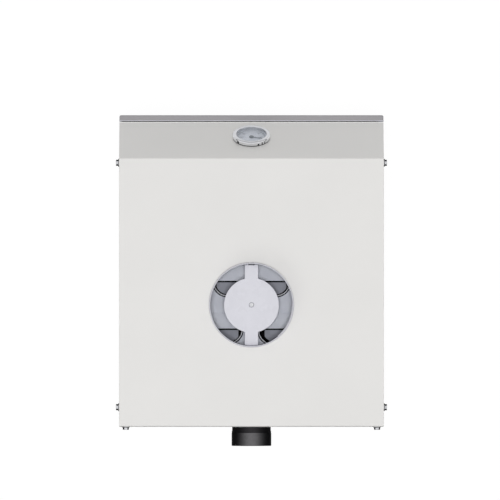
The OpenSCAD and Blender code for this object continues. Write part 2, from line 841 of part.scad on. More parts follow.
module firebox() {
    color([0.3, 0.3, 0.31]) difference() {
        block([-fire_ow / 2, flue_y - fire_od / 2, exch_z],
              [fire_ow / 2, flue_y + fire_od / 2, low_plate_z]);
        block([-fire_w / 2, flue_y - fire_d / 2, exch_z - 1],
              [fire_w / 2, flue_y + fire_d / 2, low_plate_z + 1]);
    }
}

module lower_tube_plate() {
    color([0.35, 0.35, 0.37]) difference() {
        block([-fire_ow / 2, flue_y - fire_od / 2, low_plate_z],
              [fire_ow / 2, flue_y + fire_od / 2, low_plate_z + plate_t]);
        for (x = tube_xs, y = tube_ys)
            translate([x, y, low_plate_z - 1]) cylinder(r = tube_r - tube_wall, h = plate_t + 2);
    }
}

module upper_tube_plate() {
    color([0.62, 0.63, 0.66]) difference() {
        block([-shell_w / 2, front_y, up_plate_z], [shell_w / 2, back_y, exch_top]);
        for (x = tube_xs, y = tube_ys)
            translate([x, y, up_plate_z - 1]) cylinder(r = tube_r + weld_gap, h = plate_t + 2);
    }
}

module smoke_tubes() {
    low = low_plate_z + plate_t;
    color([0.6, 0.6, 0.63])
    for (x = tube_xs, y = tube_ys) translate([x, y, low]) difference() {
        cylinder(r = tube_r, h = tube_top - low);
        translate([0, 0, -1]) cylinder(r = tube_r - tube_wall, h = tube_top - low + 2);
    }
}

// One comb for a row of tubes: flange, folded legs and half-round baffles
module turbulator() {
    edge = tube_r - tube_wall;
    rear = turb_t / 2 + turb_bend;
    flange_w = (tube_cols - 1) * tube_px + 2 * edge - 4;
    translate([-flange_w / 2, -turb_flange, 0]) cube([flange_w, turb_flange, turb_t]);
    for (x = tube_xs) translate([x, 0, 0]) {
        translate([-turb_w / 2, -turb_t, -turb_leg]) cube([turb_w, turb_t, turb_leg + eps]);
        translate([-turb_w / 2, rear, -turb_leg]) cube([turb_w, turb_t, turb_leg - baffle_drop]);
        translate([-turb_w / 2, -turb_t, -turb_leg - turb_t])
            cube([turb_w, rear + 2 * turb_t, turb_t + eps]);
        for (i = [0 : 2]) intersection() {
            translate([0, 0, -baffle_drop - turb_t - i * 60]) cylinder(r = baffle_r, h = turb_t);
            translate([-edge, rear, -turb_leg]) cube([2 * edge, edge, turb_leg]);
        }
    }
}

module turbulators() {
    color([0.6, 0.61, 0.65]) for (y = tube_ys) translate([0, y, tube_top]) turbulator();
}

// A water connection that ends behind the casing, drawn along +Y from the shell
module water_pipe() {
    whole = rear_y + pipe_out - back_y;
    plain = whole - thread_len;
    difference() {
        union() {
            rod(pipe_r, whole);
            translate([0, plain, 0]) rod(thread_r, thread_len);
        }
        translate([0, -1, 0]) rod(pipe_bore, whole + 2);
    }
}

module flow_pipe() {
    color([0.08, 0.08, 0.08]) translate([0, back_y, flow_z]) water_pipe($fn = 96);
}

module return_pipe() {
    color([0.08, 0.08, 0.08]) translate([0, back_y, return_z]) water_pipe($fn = 96);
}

module sensor_pockets() {
    color("goldenrod")
    for (x = pocket_xs) translate([x, front_y, pocket_z]) difference() {
        union() {
            translate([0, -front_ins - 6, 0]) rod(pocket_r, front_ins + 6 + pocket_in);
            translate([0, -8, 0]) rotate([-90, 0, 0]) cylinder(r = 12, h = 8, $fn = 6);
        }
        translate([0, -front_ins - 7, 0]) rod(bulb_r + 0.3, front_ins + pocket_in);
    }
}

module jacket_insulation() {
    color("khaki") difference() {
        block([-inner_w + ins_gap, front_y, exch_z],
              [inner_w - ins_gap, rear_inner_y - ins_rear_gap, up_plate_z]);
        block([-shell_w / 2, front_y - 1, exch_z - 1], [shell_w / 2, back_y, up_plate_z + 1]);
        for (z = [flow_z, return_z])
            translate([0, back_y - 1, z]) rod(pipe_r + pipe_gap, rear_y - back_y);
    }
}

module front_insulation() {
    color("silver") difference() {
        block([-shell_w / 2, front_y - front_ins, plate_top + 4], [shell_w / 2, front_y, up_plate_z]);
        for (x = pocket_xs) translate([x, front_y - 2 * front_ins, pocket_z]) rod(14, 3 * front_ins);
    }
}

// Three walls under the exchanger, with a cross bar that carries the far ends of the burners
module exchanger_stand() {
    bar_inset = 40;
    bar_y = front_y + burner_long - bar_inset;
    bar_top = burner_z - burner_r;
    vent_pitch = shell_d * 0.275;
    vent_up = 14;
    color("gray") union() {
        difference() {
            block([-plate_w / 2, front_y, base_top], [plate_w / 2, back_y, exch_z]);
            block([-plate_w / 2 + stand_t, front_y - 1, base_top - 1],
                  [plate_w / 2 - stand_t, back_y - stand_t, exch_z + 1]);
            for (i = [-1 : 1])
                block([-plate_w, flue_y + (i - 1 / 3) * vent_pitch, base_top + vent_up],
                      [plate_w, flue_y + (i + 1 / 3) * vent_pitch, base_top + vent_up + 12]);
        }
        block([-plate_w / 2 + stand_t / 2, bar_y, bar_top - 4],
              [plate_w / 2 - stand_t / 2, bar_y + 12, bar_top]);
    }
}

module burner_plate() {
    arm_t = 2;
    hole_l = burner_plate_t + 2;
    color("gray") difference() {
        union() {
            block([-plate_w / 2, plate_y, base_top], [plate_w / 2, front_y, plate_top]);
            for (x = [-rail_half - arm_t, rail_half])
                block([x, rail_y - rail_r, burner_z - 8], [x + arm_t, plate_y + eps, burner_z + 8]);
        }
        for (x = burner_xs) translate([x, plate_y - 1, burner_z]) rod(mouth_r + run_gap, hole_l);
        translate([sight_x, plate_y - 1, sight_z]) rod(glass_r - 2, hole_l);
        translate([pilot_x, plate_y - 1, flame_z]) rod(pilot_r + run_gap, hole_l);
        translate([probe_xs[1], plate_y - 1, flame_z]) rod(couple_r + run_gap, hole_l);
        translate([probe_xs[0], plate_y - 1, flame_z]) rod(spark_r + run_gap, hole_l);
    }
}

module burner_tubes() {
    color("lightsteelblue")
    for (x = burner_xs) translate([x, front_y, burner_z]) difference() {
        union() {
            rod(burner_r, burner_long);
            translate([0, -mouth_len, 0]) rod(mouth_r, mouth_len + eps);
        }
        translate([0, burner_wall, 0]) rod(burner_r - burner_wall, burner_long - 2 * burner_wall);
        translate([0, -mouth_len - 1, 0]) rod(mouth_r - burner_wall, mouth_len + 2 * burner_wall);
        for (y = [40 : 12 : burner_long - 24])
            translate([-burner_r * 0.6, y, burner_r * 0.6]) cube([burner_r * 1.2, 1.5, burner_r]);
    }
}

module gas_rail() {
    color("darkgoldenrod") difference() {
        union() {
            translate([-rail_half, rail_y, burner_z]) rotate([0, 90, 0])
                cylinder(r = rail_r, h = 2 * rail_half);
            for (x = burner_xs) translate([x, rail_y, burner_z]) rod(7, boss_len);
            translate([0, rail_y, burner_z]) cylinder(r = 9, h = valve_up);
            translate([0, rail_y, valve_z - 4]) cylinder(r = 14, h = 4);
        }
        translate([-rail_half + 2, rail_y, burner_z]) rotate([0, 90, 0])
            cylinder(r = rail_r - 2.5, h = 2 * rail_half - 4);
        for (x = burner_xs) translate([x, rail_y, burner_z]) rod(3, boss_len + 1);
        translate([0, rail_y, burner_z]) cylinder(r = 6.5, h = valve_up + 1);
    }
}

module injectors() {
    color("gold")
    for (x = burner_xs) translate([x, rail_y + boss_len, burner_z]) difference() {
        union() {
            rotate([-90, 0, 0]) cylinder(r = 12 / sqrt(3), h = 8, $fn = 6);
            rod(3.5, 14);
        }
        translate([0, -1, 0]) rod(1, 20);
    }
}

// A probe through the burner plate with a nut in front of it
module probe(r, ahead, behind, nut_r) {
    translate([0, -ahead, 0]) rod(r, ahead + behind);
    translate([0, -6, 0]) rotate([-90, 0, 0]) cylinder(r = nut_r, h = 6, $fn = 6);
}

module pilot_burner() {
    color("silver") union() {
        translate([pilot_x, plate_y, flame_z]) probe(pilot_r, probe_out, probe_in, 5.8);
        translate([pilot_x - 6, plate_y + probe_in, flame_z - 5]) cube([12, 8, 12]);
        run([[pilot_x, plate_y - probe_out + 1, flame_z], [pilot_x, drop_y, flame_z],
             [pilot_x, drop_y, valve_z + 12], [pilot_x, valve_rear, valve_z + 12]], 2, 2.1);
    }
}

module thermocouple() {
    color("peru") union() {
        translate([probe_xs[1], plate_y, flame_z]) probe(couple_r, probe_out, probe_in, 5);
        run([[probe_xs[1], plate_y - probe_out + 1, flame_z], [probe_xs[1], drop_y, flame_z],
             [probe_xs[1], drop_y, valve_z + 22], [probe_xs[1], valve_rear, valve_z + 22]],
            lead_r, lead_r + 0.1);
    }
}

module spark_electrode() {
    igniter_rear = bracket_y + igniter_l;
    turn_z = (flame_z + valve_z) / 2 + 4;
    color("ivory") union() {
        translate([probe_xs[0], plate_y, flame_z]) probe(spark_r, probe_out, probe_in / 2, 5);
        translate([probe_xs[0], plate_y, flame_z]) rod(1, probe_in);
        run([[probe_xs[0], plate_y - probe_out + 1, flame_z], [probe_xs[0], drop_y, flame_z],
             [probe_xs[0], drop_y, turn_z], [igniter_x, drop_y, turn_z],
             [igniter_x, drop_y, valve_mid], [igniter_x, igniter_rear, valve_mid]],
            lead_r, lead_r + 0.1);
    }
}

module sight_glass() {
    color([0.8, 0.85, 0.8, 0.5])
        translate([sight_x, plate_y - glass_t, sight_z]) rod(glass_r, glass_t);
}

module sight_flap() {
    back = plate_y - glass_t - run_gap;
    color("silver") translate([sight_x, back - 1.2, sight_z]) difference() {
        union() {
            rod(flap_r, 1.2);
            translate([-4, 0, 0]) cube([8, 1.2, flap_len]);
            translate([0, 0, flap_len]) rod(5, 1.2);
        }
        translate([0, -1, flap_len]) rod(flap_pin_r + run_gap, 4);
    }
}

module sight_flap_pin() {
    head = plate_y - glass_t - 1.2 - 2 * run_gap;
    color("silver") translate([sight_x, 0, sight_z + flap_len]) union() {
        translate([0, head, 0]) rod(flap_pin_r, plate_y - head);
        translate([0, head - 1.5, 0]) rod(4, 1.5);
    }
}

module gas_valve() {
    color("darkgray") difference() {
        union() {
            block([-valve_w / 2, valve_front, valve_z], [valve_w / 2, valve_rear, valve_z + valve_h]);
            translate([valve_w / 4, rail_y, valve_z + valve_h]) cylinder(r = 6, h = 6);
        }
        translate([0, valve_front - 1, valve_mid]) rod(bush_r + run_gap, bush_d + 1);
        translate([0, valve_front, valve_mid]) rod(spindle_r + run_gap, 24);
    }
}

module spindle_bush() {
    color("goldenrod") translate([0, valve_front, valve_mid]) difference() {
        rod(bush_r, bush_d - run_gap);
        translate([0, -1, 0]) rod(spindle_r + run_gap, bush_d + 2);
    }
}

module valve_spindle() {
    color("silver") translate([0, knob_y, valve_mid]) rod(spindle_r, 5 + bush_d + 10);
}

module control_knob() {
    grip = 12;
    color([0.12, 0.12, 0.12]) translate([0, knob_y, valve_mid]) rotate([90, 0, 0]) difference() {
        union() {
            cylinder(r = knob_r, h = 3);
            cylinder(r = knob_r - 2.5, h = knob_d);
        }
        for (i = [0 : grip - 1]) rotate([0, 0, (i + 0.5) * 360 / grip])
            translate([knob_r - 1, 0, 4]) cylinder(r = 3, h = knob_d);
        translate([-0.8, knob_r / 3, knob_d - 0.8]) cube([1.6, knob_r, 2]);
    }
}

module igniter_bracket() {
    ear = 8;
    color("silver") difference() {
        block([igniter_x - 2 * ear, bracket_y, valve_mid - 2 * ear],
              [-valve_w / 2 + ear, valve_front, valve_mid + 2 * ear]);
        translate([igniter_x, bracket_y - 1, valve_mid]) rod(igniter_r, bracket_t + 2);
    }
}

module igniter_body() {
    color([0.15, 0.15, 0.15]) translate([igniter_x, bracket_y, valve_mid]) difference() {
        union() {
            translate([0, -4, 0]) rod(12, 4);
            rod(igniter_r - run_gap, igniter_l);
            translate([0, bracket_t, 0]) rotate([-90, 0, 0]) cylinder(r = 13, h = 5, $fn = 6);
        }
        translate([0, -5, 0]) rod(button_r + run_gap, 5 + button_push + 12);
    }
}

module igniter_button() {
    color("firebrick") translate([igniter_x, bracket_y - 4 - button_push - 3, valve_mid])
        rod(button_r, button_push + 3 + 14);
}

module gas_pipe() {
    pipe_end = rear_y - sheet - 2;
    bore_l = 60;
    thread_cut = 0.17;
    color("goldenrod") difference() {
        union() {
            run([[valve_w / 2, rail_y, valve_mid], [gas_x, rail_y, valve_mid],
                 [gas_x, rail_y, gas_z], [gas_x, pipe_end - gas_thread, gas_z]],
                gas_r + thread_cut, gas_r + 3);
            translate([gas_x, pipe_end - gas_thread - 1, gas_z]) rod(gas_r, gas_thread + 1);
        }
        translate([gas_x, pipe_end - bore_l, gas_z]) rod(gas_r - 2.5, bore_l + 1);
    }
}

base_tray();
feet();
side_panel_left();
side_panel_right();
rear_panel();
top_cover();
front_rail();
door_shell();
door_liner();
door_pull();
door_hinge_lugs();
hinge_brackets();
hinge_pins();
magnet_catches();
cover_screws();
thermometer_case();
thermometer_bezel();
thermometer_dial();
thermometer_pointer();
thermometer_glass();
thermometer_clamp();
clamp_nut();
thermometer_capillary();
flue_spigot();
smoke_hood();
draught_deflector();
deflector_stud();
spill_sensor();
outer_shell();
bottom_ring();
firebox();
lower_tube_plate();
upper_tube_plate();
smoke_tubes();
turbulators();
flow_pipe();
return_pipe();
sensor_pockets();
jacket_insulation();
front_insulation();
exchanger_stand();
burner_plate();
burner_tubes();
gas_rail();
injectors();
pilot_burner();
thermocouple();
spark_electrode();
sight_glass();
sight_flap();
sight_flap_pin();
gas_valve();
spindle_bush();
valve_spindle();
control_knob();
igniter_bracket();
igniter_body();
igniter_button();
gas_pipe();
thermostat_capillary();
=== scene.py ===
"""Looks of the floor-standing gas boiler: sheet casing, dial thermometer, flue spigot, pipes and burner."""

import json
import math

import bmesh
import bpy
from mathutils import Matrix, Vector


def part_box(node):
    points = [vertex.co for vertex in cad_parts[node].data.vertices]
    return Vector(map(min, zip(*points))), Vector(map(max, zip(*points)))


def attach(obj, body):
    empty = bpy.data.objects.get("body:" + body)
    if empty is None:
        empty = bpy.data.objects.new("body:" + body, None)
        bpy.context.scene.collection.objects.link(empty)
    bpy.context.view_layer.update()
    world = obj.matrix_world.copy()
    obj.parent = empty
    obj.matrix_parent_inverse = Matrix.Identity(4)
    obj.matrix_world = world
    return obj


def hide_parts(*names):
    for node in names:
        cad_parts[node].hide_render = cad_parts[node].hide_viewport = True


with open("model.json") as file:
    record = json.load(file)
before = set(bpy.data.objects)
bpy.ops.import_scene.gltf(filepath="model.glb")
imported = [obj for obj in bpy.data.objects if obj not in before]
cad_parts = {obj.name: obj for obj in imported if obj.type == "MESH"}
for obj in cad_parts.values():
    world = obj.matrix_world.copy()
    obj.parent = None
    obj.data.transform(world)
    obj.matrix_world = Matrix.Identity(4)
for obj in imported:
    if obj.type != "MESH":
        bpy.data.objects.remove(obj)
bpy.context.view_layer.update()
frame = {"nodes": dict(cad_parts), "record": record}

# Sizes in millimetres, in the frame of the part. The sheets are 0.5 mm narrower a side than the solids
MM = 0.001
HALF_W = 199.5
DOOR_Y = -250.15
REAR_Y = DOOR_Y + 470.0
FLUE_Y = REAR_Y - 183.6
COVER_TOP = 700.0
SHEET = 1.0
FLANGE_H = 30.0
SLOPE_Y = DOOR_Y + 10.4
SLOPE_RUN = 54.4
SLOPE_Z = 602.0
SLOPE = math.atan2(COVER_TOP - SLOPE_Z, SLOPE_RUN)
SCREW_Z = 685.0
PULL = (154.0, DOOR_Y, 316.0)
HINGE_ZS = (92.0, 540.0)
SPIGOT_R = 64.0
SPIGOT_BORE = 61.8
SPIGOT_TOP = 740.0
PLATE_TOP = 596.0
TUBE_TOP = 599.0
TUBE_FOOT = 348.0
TUBE_R = 22.5
TUBE_BORE = 20.5
# The even grid of the tubes, from the flue's centre
TUBE_XS = (-114.6, -38.2, 38.2, 114.6)
TUBE_YS = (-108.0, -36.0, 36.0, 108.0)
# Where the four tubes seen through the flue stand in the photograph, the baffles in them and the
# middles of their folded legs, also from the flue's centre
SEEN_TUBES = {(1, 1): (-36.9, -34.6), (2, 1): (36.0, -34.6), (1, 2): (-32.2, 38.6), (2, 2): (35.2, 37.2)}
SEEN_BAFFLES = {(1, 1): (-36.5, -34.1), (2, 1): (35.7, -34.1), (1, 2): (-35.2, 37.6), (2, 2): (35.0, 37.9)}
TONGUE_XS = {(1, 1): -36.3, (2, 1): 36.3, (1, 2): -36.5, (2, 2): 36.3}
TUBES = {(i, k): SEEN_TUBES.get((i, k), (TUBE_XS[i], TUBE_YS[k])) for i in range(4) for k in range(4)}
FLOW_Z = 545.0
RETURN_Z = 200.0
PIPE_OUT = 30.3
VALVE = (0.0, DOOR_Y + 42.9, 197.5)

# The dial's scale runs from 0 to 120 degrees Celsius over 270 degrees of arc, clockwise from the
# lower left. At rest the needle shows 27.
SCALE_START = 225
SCALE_SWEEP = 270
SCALE_END = 120
SHOWN = 27

# The thermometer's place on the slope, with +Z out of the slope
DIAL = (Matrix.Translation((0, DOOR_Y + 34.1, SLOPE_Z + 23.7 * math.tan(SLOPE)))
        @ Matrix.Rotation(SLOPE, 4, "X"))


def colour(code):
    """Linear colour of an sRGB hex value."""
    parts = [int(code[i:i + 2], 16) / 255 for i in (1, 3, 5)]
    line = [c / 12.92 if c <= 0.04045 else ((c + 0.055) / 1.055) ** 2.4 for c in parts]
    return (*line, 1.0)


def add(tree, kind, inputs, **settings):
    """Adds a node. Settings are its own options; inputs are values or the sockets that feed it."""
    node = tree.nodes.new(kind)
    for name, value in settings.items():
        setattr(node, name, value)
    for name, value in inputs.items():
        if isinstance(value, bpy.types.NodeSocket):
            tree.links.new(value, node.inputs[name])
        else:
            node.inputs[name].default_value = value
    return node


def begin(name, **fixed):
    """A new material with its shader's own values, and the place on the piece in metres."""
    material = bpy.data.materials.new(name)
    material.use_nodes = True
    tree = material.node_tree
    shader = tree.nodes["Principled BSDF"]
    for socket, value in fixed.items():
        shader.inputs[socket.replace("_", " ")].default_value = value
    place = add(tree, "ShaderNodeTexCoord", {}).outputs["Object"]
    return material, tree, shader, place


def speckle(tree, shader, place, light, dark, size):
    """Cloudy change between two near colours, over blotches of the given size in millimetres."""
    cloud = add(tree, "ShaderNodeTexNoise", {"Vector": place, "Scale": 1000 / size, "Detail": 3.0,
                                             "Roughness": 0.55})
    # Noise keeps near its middle, so the middle of its range is spread over both colours
    spread = add(tree, "ShaderNodeMapRange", {"Value": cloud.outputs["Fac"], "From Min": 0.35,
                                              "From Max": 0.65})
    mix = add(tree, "ShaderNodeMix", {0: spread.outputs["Result"], 6: colour(light), 7: colour(dark)},
              data_type="RGBA")
    tree.links.new(mix.outputs[2], shader.inputs["Base Color"])
    return cloud


def relief(tree, shader, height, depth, strength):
    """Bump of the given depth in millimetres."""
    bump = add(tree, "ShaderNodeBump", {"Height": height, "Distance": depth * MM, "Strength": strength})
    tree.links.new(bump.outputs["Normal"], shader.inputs["Normal"])


# Materials

def powder_coat(name, light, dark, gloss):
    """Baked polyester powder on sheet steel: satin, with the soft orange peel of the sprayed powder."""
    material, tree, shader, place = begin(name, Roughness=gloss, IOR=1.5)
    speckle(tree, shader, place, light, dark, 140)
    # Orange peel is 1 to 2 mm across, drawn at 2.4 mm so that it shows
    peel = add(tree, "ShaderNodeTexNoise", {"Vector": place, "Scale": 1000 / 2.4, "Detail": 1.0})
    relief(tree, shader, peel.outputs["Fac"], 0.06, 0.5)
    return material


def galvanised_sheet(name, light, dark):
    """Hot-dip zinc on sheet steel: pale bluish metal with faint flat crystals that shine unequally."""
    material, tree, shader, place = begin(name, Metallic=0.55)
    # Zinc crystals are 5 to 10 mm across
    crystal = add(tree, "ShaderNodeTexVoronoi", {"Vector": place, "Scale": 1000 / 7.0, "Randomness": 1.0})
    tone = add(tree, "ShaderNodeMix", {0: crystal.outputs["Color"], 6: colour(light), 7: colour(dark)},
               data_type="RGBA")
    tree.links.new(tone.outputs[2], shader.inputs["Base Color"])
    shine = add(tree, "ShaderNodeMapRange", {"Value": crystal.outputs["Color"], "To Min": 0.46,
                                             "To Max": 0.52})
    tree.links.new(shine.outputs["Result"], shader.inputs["Roughness"])
    grain = add(tree, "ShaderNodeTexNoise", {"Vector": place, "Scale": 1000 / 1.5, "Detail": 2.0})
    relief(tree, shader, grain.outputs["Fac"], 0.02, 0.3)
    return material


def plated_steel():
    """Bright zinc or nickel plate on turned steel: mirror-like with faint smears."""
    material, tree, shader, place = begin("bright_plated_steel", Metallic=1.0)
    speckle(tree, shader, place, "#DDDEE0", "#CFD0D4", 6)
    smear = add(tree, "ShaderNodeTexNoise", {"Vector": place, "Scale": 1000 / 3.0, "Detail": 2.0})
    shine = add(tree, "ShaderNodeMapRange", {"Value": smear.outputs["Fac"], "To Min": 0.08, "To Max": 0.16})
    tree.links.new(shine.outputs["Result"], shader.inputs["Roughness"])
    return material


def phosphated_steel():
    """Steel plate and tube with a phosphate coat: pale blue-grey, matt, cloudy, with a fine tooth."""
    material, tree, shader, place = begin("phosphated_steel", Metallic=0.1, IOR=1.5)
    speckle(tree, shader, place, "#E3E6EF", "#D9DCE6", 28)
    tooth = add(tree, "ShaderNodeTexNoise", {"Vector": place, "Scale": 1000 / 1.6, "Detail": 3.0})
    shine = add(tree, "ShaderNodeMapRange", {"Value": tooth.outputs["Fac"], "To Min": 0.45, "To Max": 0.65})
    tree.links.new(shine.outputs["Result"], shader.inputs["Roughness"])
    relief(tree, shader, tooth.outputs["Fac"], 0.05, 0.5)
    return material


def stove_enamel():
    """Grey heat-resistant paint on the welded exchanger: matt, brushed on, uneven in tone."""
    material, tree, shader, place = begin("stove_enamel", Roughness=0.62, IOR=1.5)
    speckle(tree, shader, place, "#55585E", "#42454A", 45)
    brush = add(tree, "ShaderNodeMapping", {"Vector": place, "Scale": (1.0, 1.0, 0.08)})
    streak = add(tree, "ShaderNodeTexNoise", {"Vector": brush.outputs["Vector"], "Scale": 1000 / 2.0,
                                              "Detail": 2.0})
    relief(tree, shader, streak.outputs["Fac"], 0.08, 0.6)
    return material


def pipe_lacquer(name, top, side):
    """Black lacquer dipped on steel pipe: dead matt, with a painted highlight that turns whatever faces up
    towards the top colour.
    """
    material, tree, shader, place = begin(name, Roughness=0.7, IOR=1.5, Specular_IOR_Level=0.02)
    facing = add(tree, "ShaderNodeTexCoord", {}).outputs["Normal"]
    height = add(tree, "ShaderNodeSeparateXYZ", {"Vector": facing})
    # Mottling of about 4 mm makes the edge of the painted highlight wander and gives a faint bump
    mottle = add(tree, "ShaderNodeTexNoise", {"Vector": place, "Scale": 1000 / 4.0, "Detail": 2.0})
    wander = add(tree, "ShaderNodeMapRange", {"Value": mottle.outputs["Fac"], "To Min": 0.97, "To Max": 1.01})
    # Painted highlight: how far the surface faces up, to the eighth power, blends the side colour into the
    # top colour
    level = add(tree, "ShaderNodeMath", {0: height.outputs["Z"], 1: wander.outputs["Result"]},
                operation="MULTIPLY", use_clamp=True)
    cover = add(tree, "ShaderNodeMath", {0: level.outputs["Value"], 1: 8.0}, operation="POWER")
    mix = add(tree, "ShaderNodeMix", {0: cover.outputs["Value"], 6: colour(side), 7: colour(top)},
              data_type="RGBA")
    tree.links.new(mix.outputs[2], shader.inputs["Base Color"])
    relief(tree, shader, mottle.outputs["Fac"], 0.06, 0.4)
    return material


def black_zinc():
    """Cold-forged screws: satin, painted near black on their sides as painted shade, and pale on the flat
    that faces up as a painted highlight.
    """
    material, tree, shader, place = begin("black_zinc", Roughness=0.5, IOR=1.5, Specular_IOR_Level=0.02)
    facing = add(tree, "ShaderNodeTexCoord", {}).outputs["Normal"]
    height = add(tree, "ShaderNodeSeparateXYZ", {"Vector": facing})
    # Flats facing up get the painted highlight; the rest gets near-black painted shade
    level = add(tree, "ShaderNodeMapRange", {"Value": height.outputs["Z"], "From Min": 0.65,
                                             "From Max": 0.92})
    # The painted highlight is mottled in patches about 1.5 mm wide
    mottle = add(tree, "ShaderNodeTexNoise", {"Vector": place, "Scale": 1000 / 1.5, "Detail": 2.0})
    painted_highlight_colour = add(tree, "ShaderNodeMix", {0: mottle.outputs["Fac"], 6: colour("#DCDDE0"), 7: colour("#CFD0D4")},
               data_type="RGBA")
    mix = add(tree, "ShaderNodeMix", {0: level.outputs["Result"], 6: colour("#060607"), 7: painted_highlight_colour.outputs[2]},
              data_type="RGBA")
    tree.links.new(mix.outputs[2], shader.inputs["Base Color"])
    return material


def satin_plate():
    """Brushed nickel on the bezel's face: pale, even, a little duller than the chrome of its wall."""
    material, tree, shader, place = begin("satin_nickel", Metallic=1.0, Roughness=0.3)
    speckle(tree, shader, place, "#D3D4D7", "#CBCCD0", 8)
    return material


def cast_aluminium():
    """Die-cast aluminium, shot-blasted: pale, evenly grained and dull."""
    material, tree, shader, place = begin("cast_aluminium", Metallic=1.0, Roughness=0.5)
    speckle(tree, shader, place, "#C2C3C6", "#AEB0B4", 18)
    # Blasting leaves pits of about half a millimetre, drawn at 1.2 mm
    pits = add(tree, "ShaderNodeTexNoise", {"Vector": place, "Scale": 1000 / 1.2, "Detail": 3.0})
    relief(tree, shader, pits.outputs["Fac"], 0.08, 0.6)
    return material


def warm_metal(name, light, dark, rough):
    """Brass or copper as drawn or turned, slightly tarnished in patches."""
    material, tree, shader, place = begin(name, Metallic=1.0)
    cloud = speckle(tree, shader, place, light, dark, 14)
    shine = add(tree, "ShaderNodeMapRange", {"Value": cloud.outputs["Fac"], "From Min": 0.3, "From Max": 0.7,
                                             "To Min": rough, "To Max": rough + 0.14})
    tree.links.new(shine.outputs["Result"], shader.inputs["Roughness"])
    return material


def moulded_plastic(name, light, dark, rough):
    """Injection-moulded ABS or nylon with the fine spark-eroded grain of its mould."""
    material, tree, shader, place = begin(name, Roughness=rough, IOR=1.46)
    speckle(tree, shader, place, light, dark, 20)
    # Mould grain is about 0.4 mm, drawn at 0.9 mm
    grain = add(tree, "ShaderNodeTexVoronoi", {"Vector": place, "Scale": 1000 / 0.9}, feature="SMOOTH_F1")
    relief(tree, shader, grain.outputs["Distance"], 0.04, 0.4)
    return material


def glazed_ceramic():
    """Fired and glazed alumina with its silicone-covered lead: cream, smooth, faintly mottled."""
    material, tree, shader, place = begin("glazed_ceramic", Roughness=0.28, IOR=1.55)
    speckle(tree, shader, place, "#E6E2D6", "#DAD4C4", 9)
    return material


def window_glass():
    """Float glass: colourless, seen by its reflections and a faint cool tint."""
    material, tree, shader, place = begin("window_glass", Roughness=0.03, IOR=1.52, Alpha=0.12,
                                          Metallic=0.0)
    speckle(tree, shader, place, "#E8EEF0", "#E2EAED", 60)
    return material


def mineral_wool():
    """Bonded mineral wool board: matt ochre felt of crossed fibres."""
    material, tree, shader, place = begin("mineral_wool", Roughness=0.95, IOR=1.4)
    speckle(tree, shader, place, "#B49A62", "#94794A", 12)
    # Bundles of fibre are about 1.5 mm thick and ten times as long
    lay = add(tree, "ShaderNodeMapping", {"Vector": place, "Scale": (0.1, 1.0, 1.0)})
    fibre = add(tree, "ShaderNodeTexNoise", {"Vector": lay.outputs["Vector"], "Scale": 1000 / 1.5,
                                             "Detail": 4.0, "Roughness": 0.7})
    relief(tree, shader, fibre.outputs["Fac"], 0.9, 0.9)
    return material


def foil_facing():
    """Aluminium foil glued on mineral wool: bright, crumpled in sharp short folds over the soft board."""
    material, tree, shader, place = begin("foil_facing", Metallic=0.9)
    cloud = speckle(tree, shader, place, "#D4D5D8", "#C8CACD", 60)
    shine = add(tree, "ShaderNodeMapRange", {"Value": cloud.outputs["Fac"], "To Min": 0.3, "To Max": 0.46})
    tree.links.new(shine.outputs["Result"], shader.inputs["Roughness"])
    # Folds are 10 to 40 mm long with sharp crests, on dents of about 60 mm
    fold = add(tree, "ShaderNodeTexNoise", {"Vector": place, "Scale": 1000 / 40.0, "Detail": 3.0,
                                            "Roughness": 0.5, "Lacunarity": 2.2, "Offset": 0.9, "Gain": 1.6},
               noise_type="RIDGED_MULTIFRACTAL", normalize=False)
    dent = add(tree, "ShaderNodeTexNoise", {"Vector": place, "Scale": 1000 / 60.0, "Detail": 2.0})
    soft = add(tree, "ShaderNodeMath", {0: dent.outputs["Fac"], 1: 2.0}, operation="MULTIPLY")
    height = add(tree, "ShaderNodeMath", {0: fold.outputs["Fac"], 1: soft.outputs["Value"]}, operation="ADD")
    relief(tree, shader, height.outputs["Value"], 1.3, 0.7)
    return material


def heat_scale():
    """Thin sheet in matt grey a little darker than the tube plate: painted shade on the top baffles."""
    material, tree, shader, place = begin("heat_scale", Roughness=0.75, IOR=1.5)
    speckle(tree, shader, place, "#A3A5AF", "#989AA4", 16)
    return material


def print_paint():
    """White tampon print on black plastic: thin, opaque, slightly uneven."""
    material, tree, shader, place = begin("print_paint", Roughness=0.55, IOR=1.5)
    speckle(tree, shader, place, "#E4E4E2", "#D2D2D0", 3)
    return material


def cut_steel():
    """Saw-cut and deburred steel ends: bare, bright, faintly mottled."""
    material, tree, shader, place = begin("cut_steel", Metallic=0.35, Roughness=0.4, IOR=1.5)
    speckle(tree, shader, place, "#F2F3F8", "#E6E8EE", 5)
    return material


def soot_coat():
    """Near-black dead matt coat: painted shade in the bores and joint rings of the fire tubes and on the
    parts down in the tubes.
    """
    material, tree, shader, place = begin("soot_coat", Roughness=0.95, IOR=1.4, Specular_IOR_Level=0.05)
    speckle(tree, shader, place, "#121113", "#0A090B", 8)
    return material


def weld_bead():
    """Arc weld left as laid: heat-tinted grey-blue, darker than the plate, rippled."""
    material, tree, shader, place = begin("weld_bead", Metallic=0.4, Roughness=0.5)
    speckle(tree, shader, place, "#83868F", "#63666F", 3)
    return material


def dial_face():
    """Anodised aluminium dial, rolled and printed: pale blue-grey, faintly mottled."""
    material, tree, shader, place = begin("dial_face", Metallic=0.25, Roughness=0.45)
    speckle(tree, shader, place, "#DADDE7", "#CED2DE", 12)
    return material


def dial_ink(name, light, dark):
    """Stove-dried printing ink or enamel: flat, dense, barely raised."""
    material, tree, shader, place = begin(name, Roughness=0.5, IOR=1.5)
    speckle(tree, shader, place, light, dark, 4)
    return material


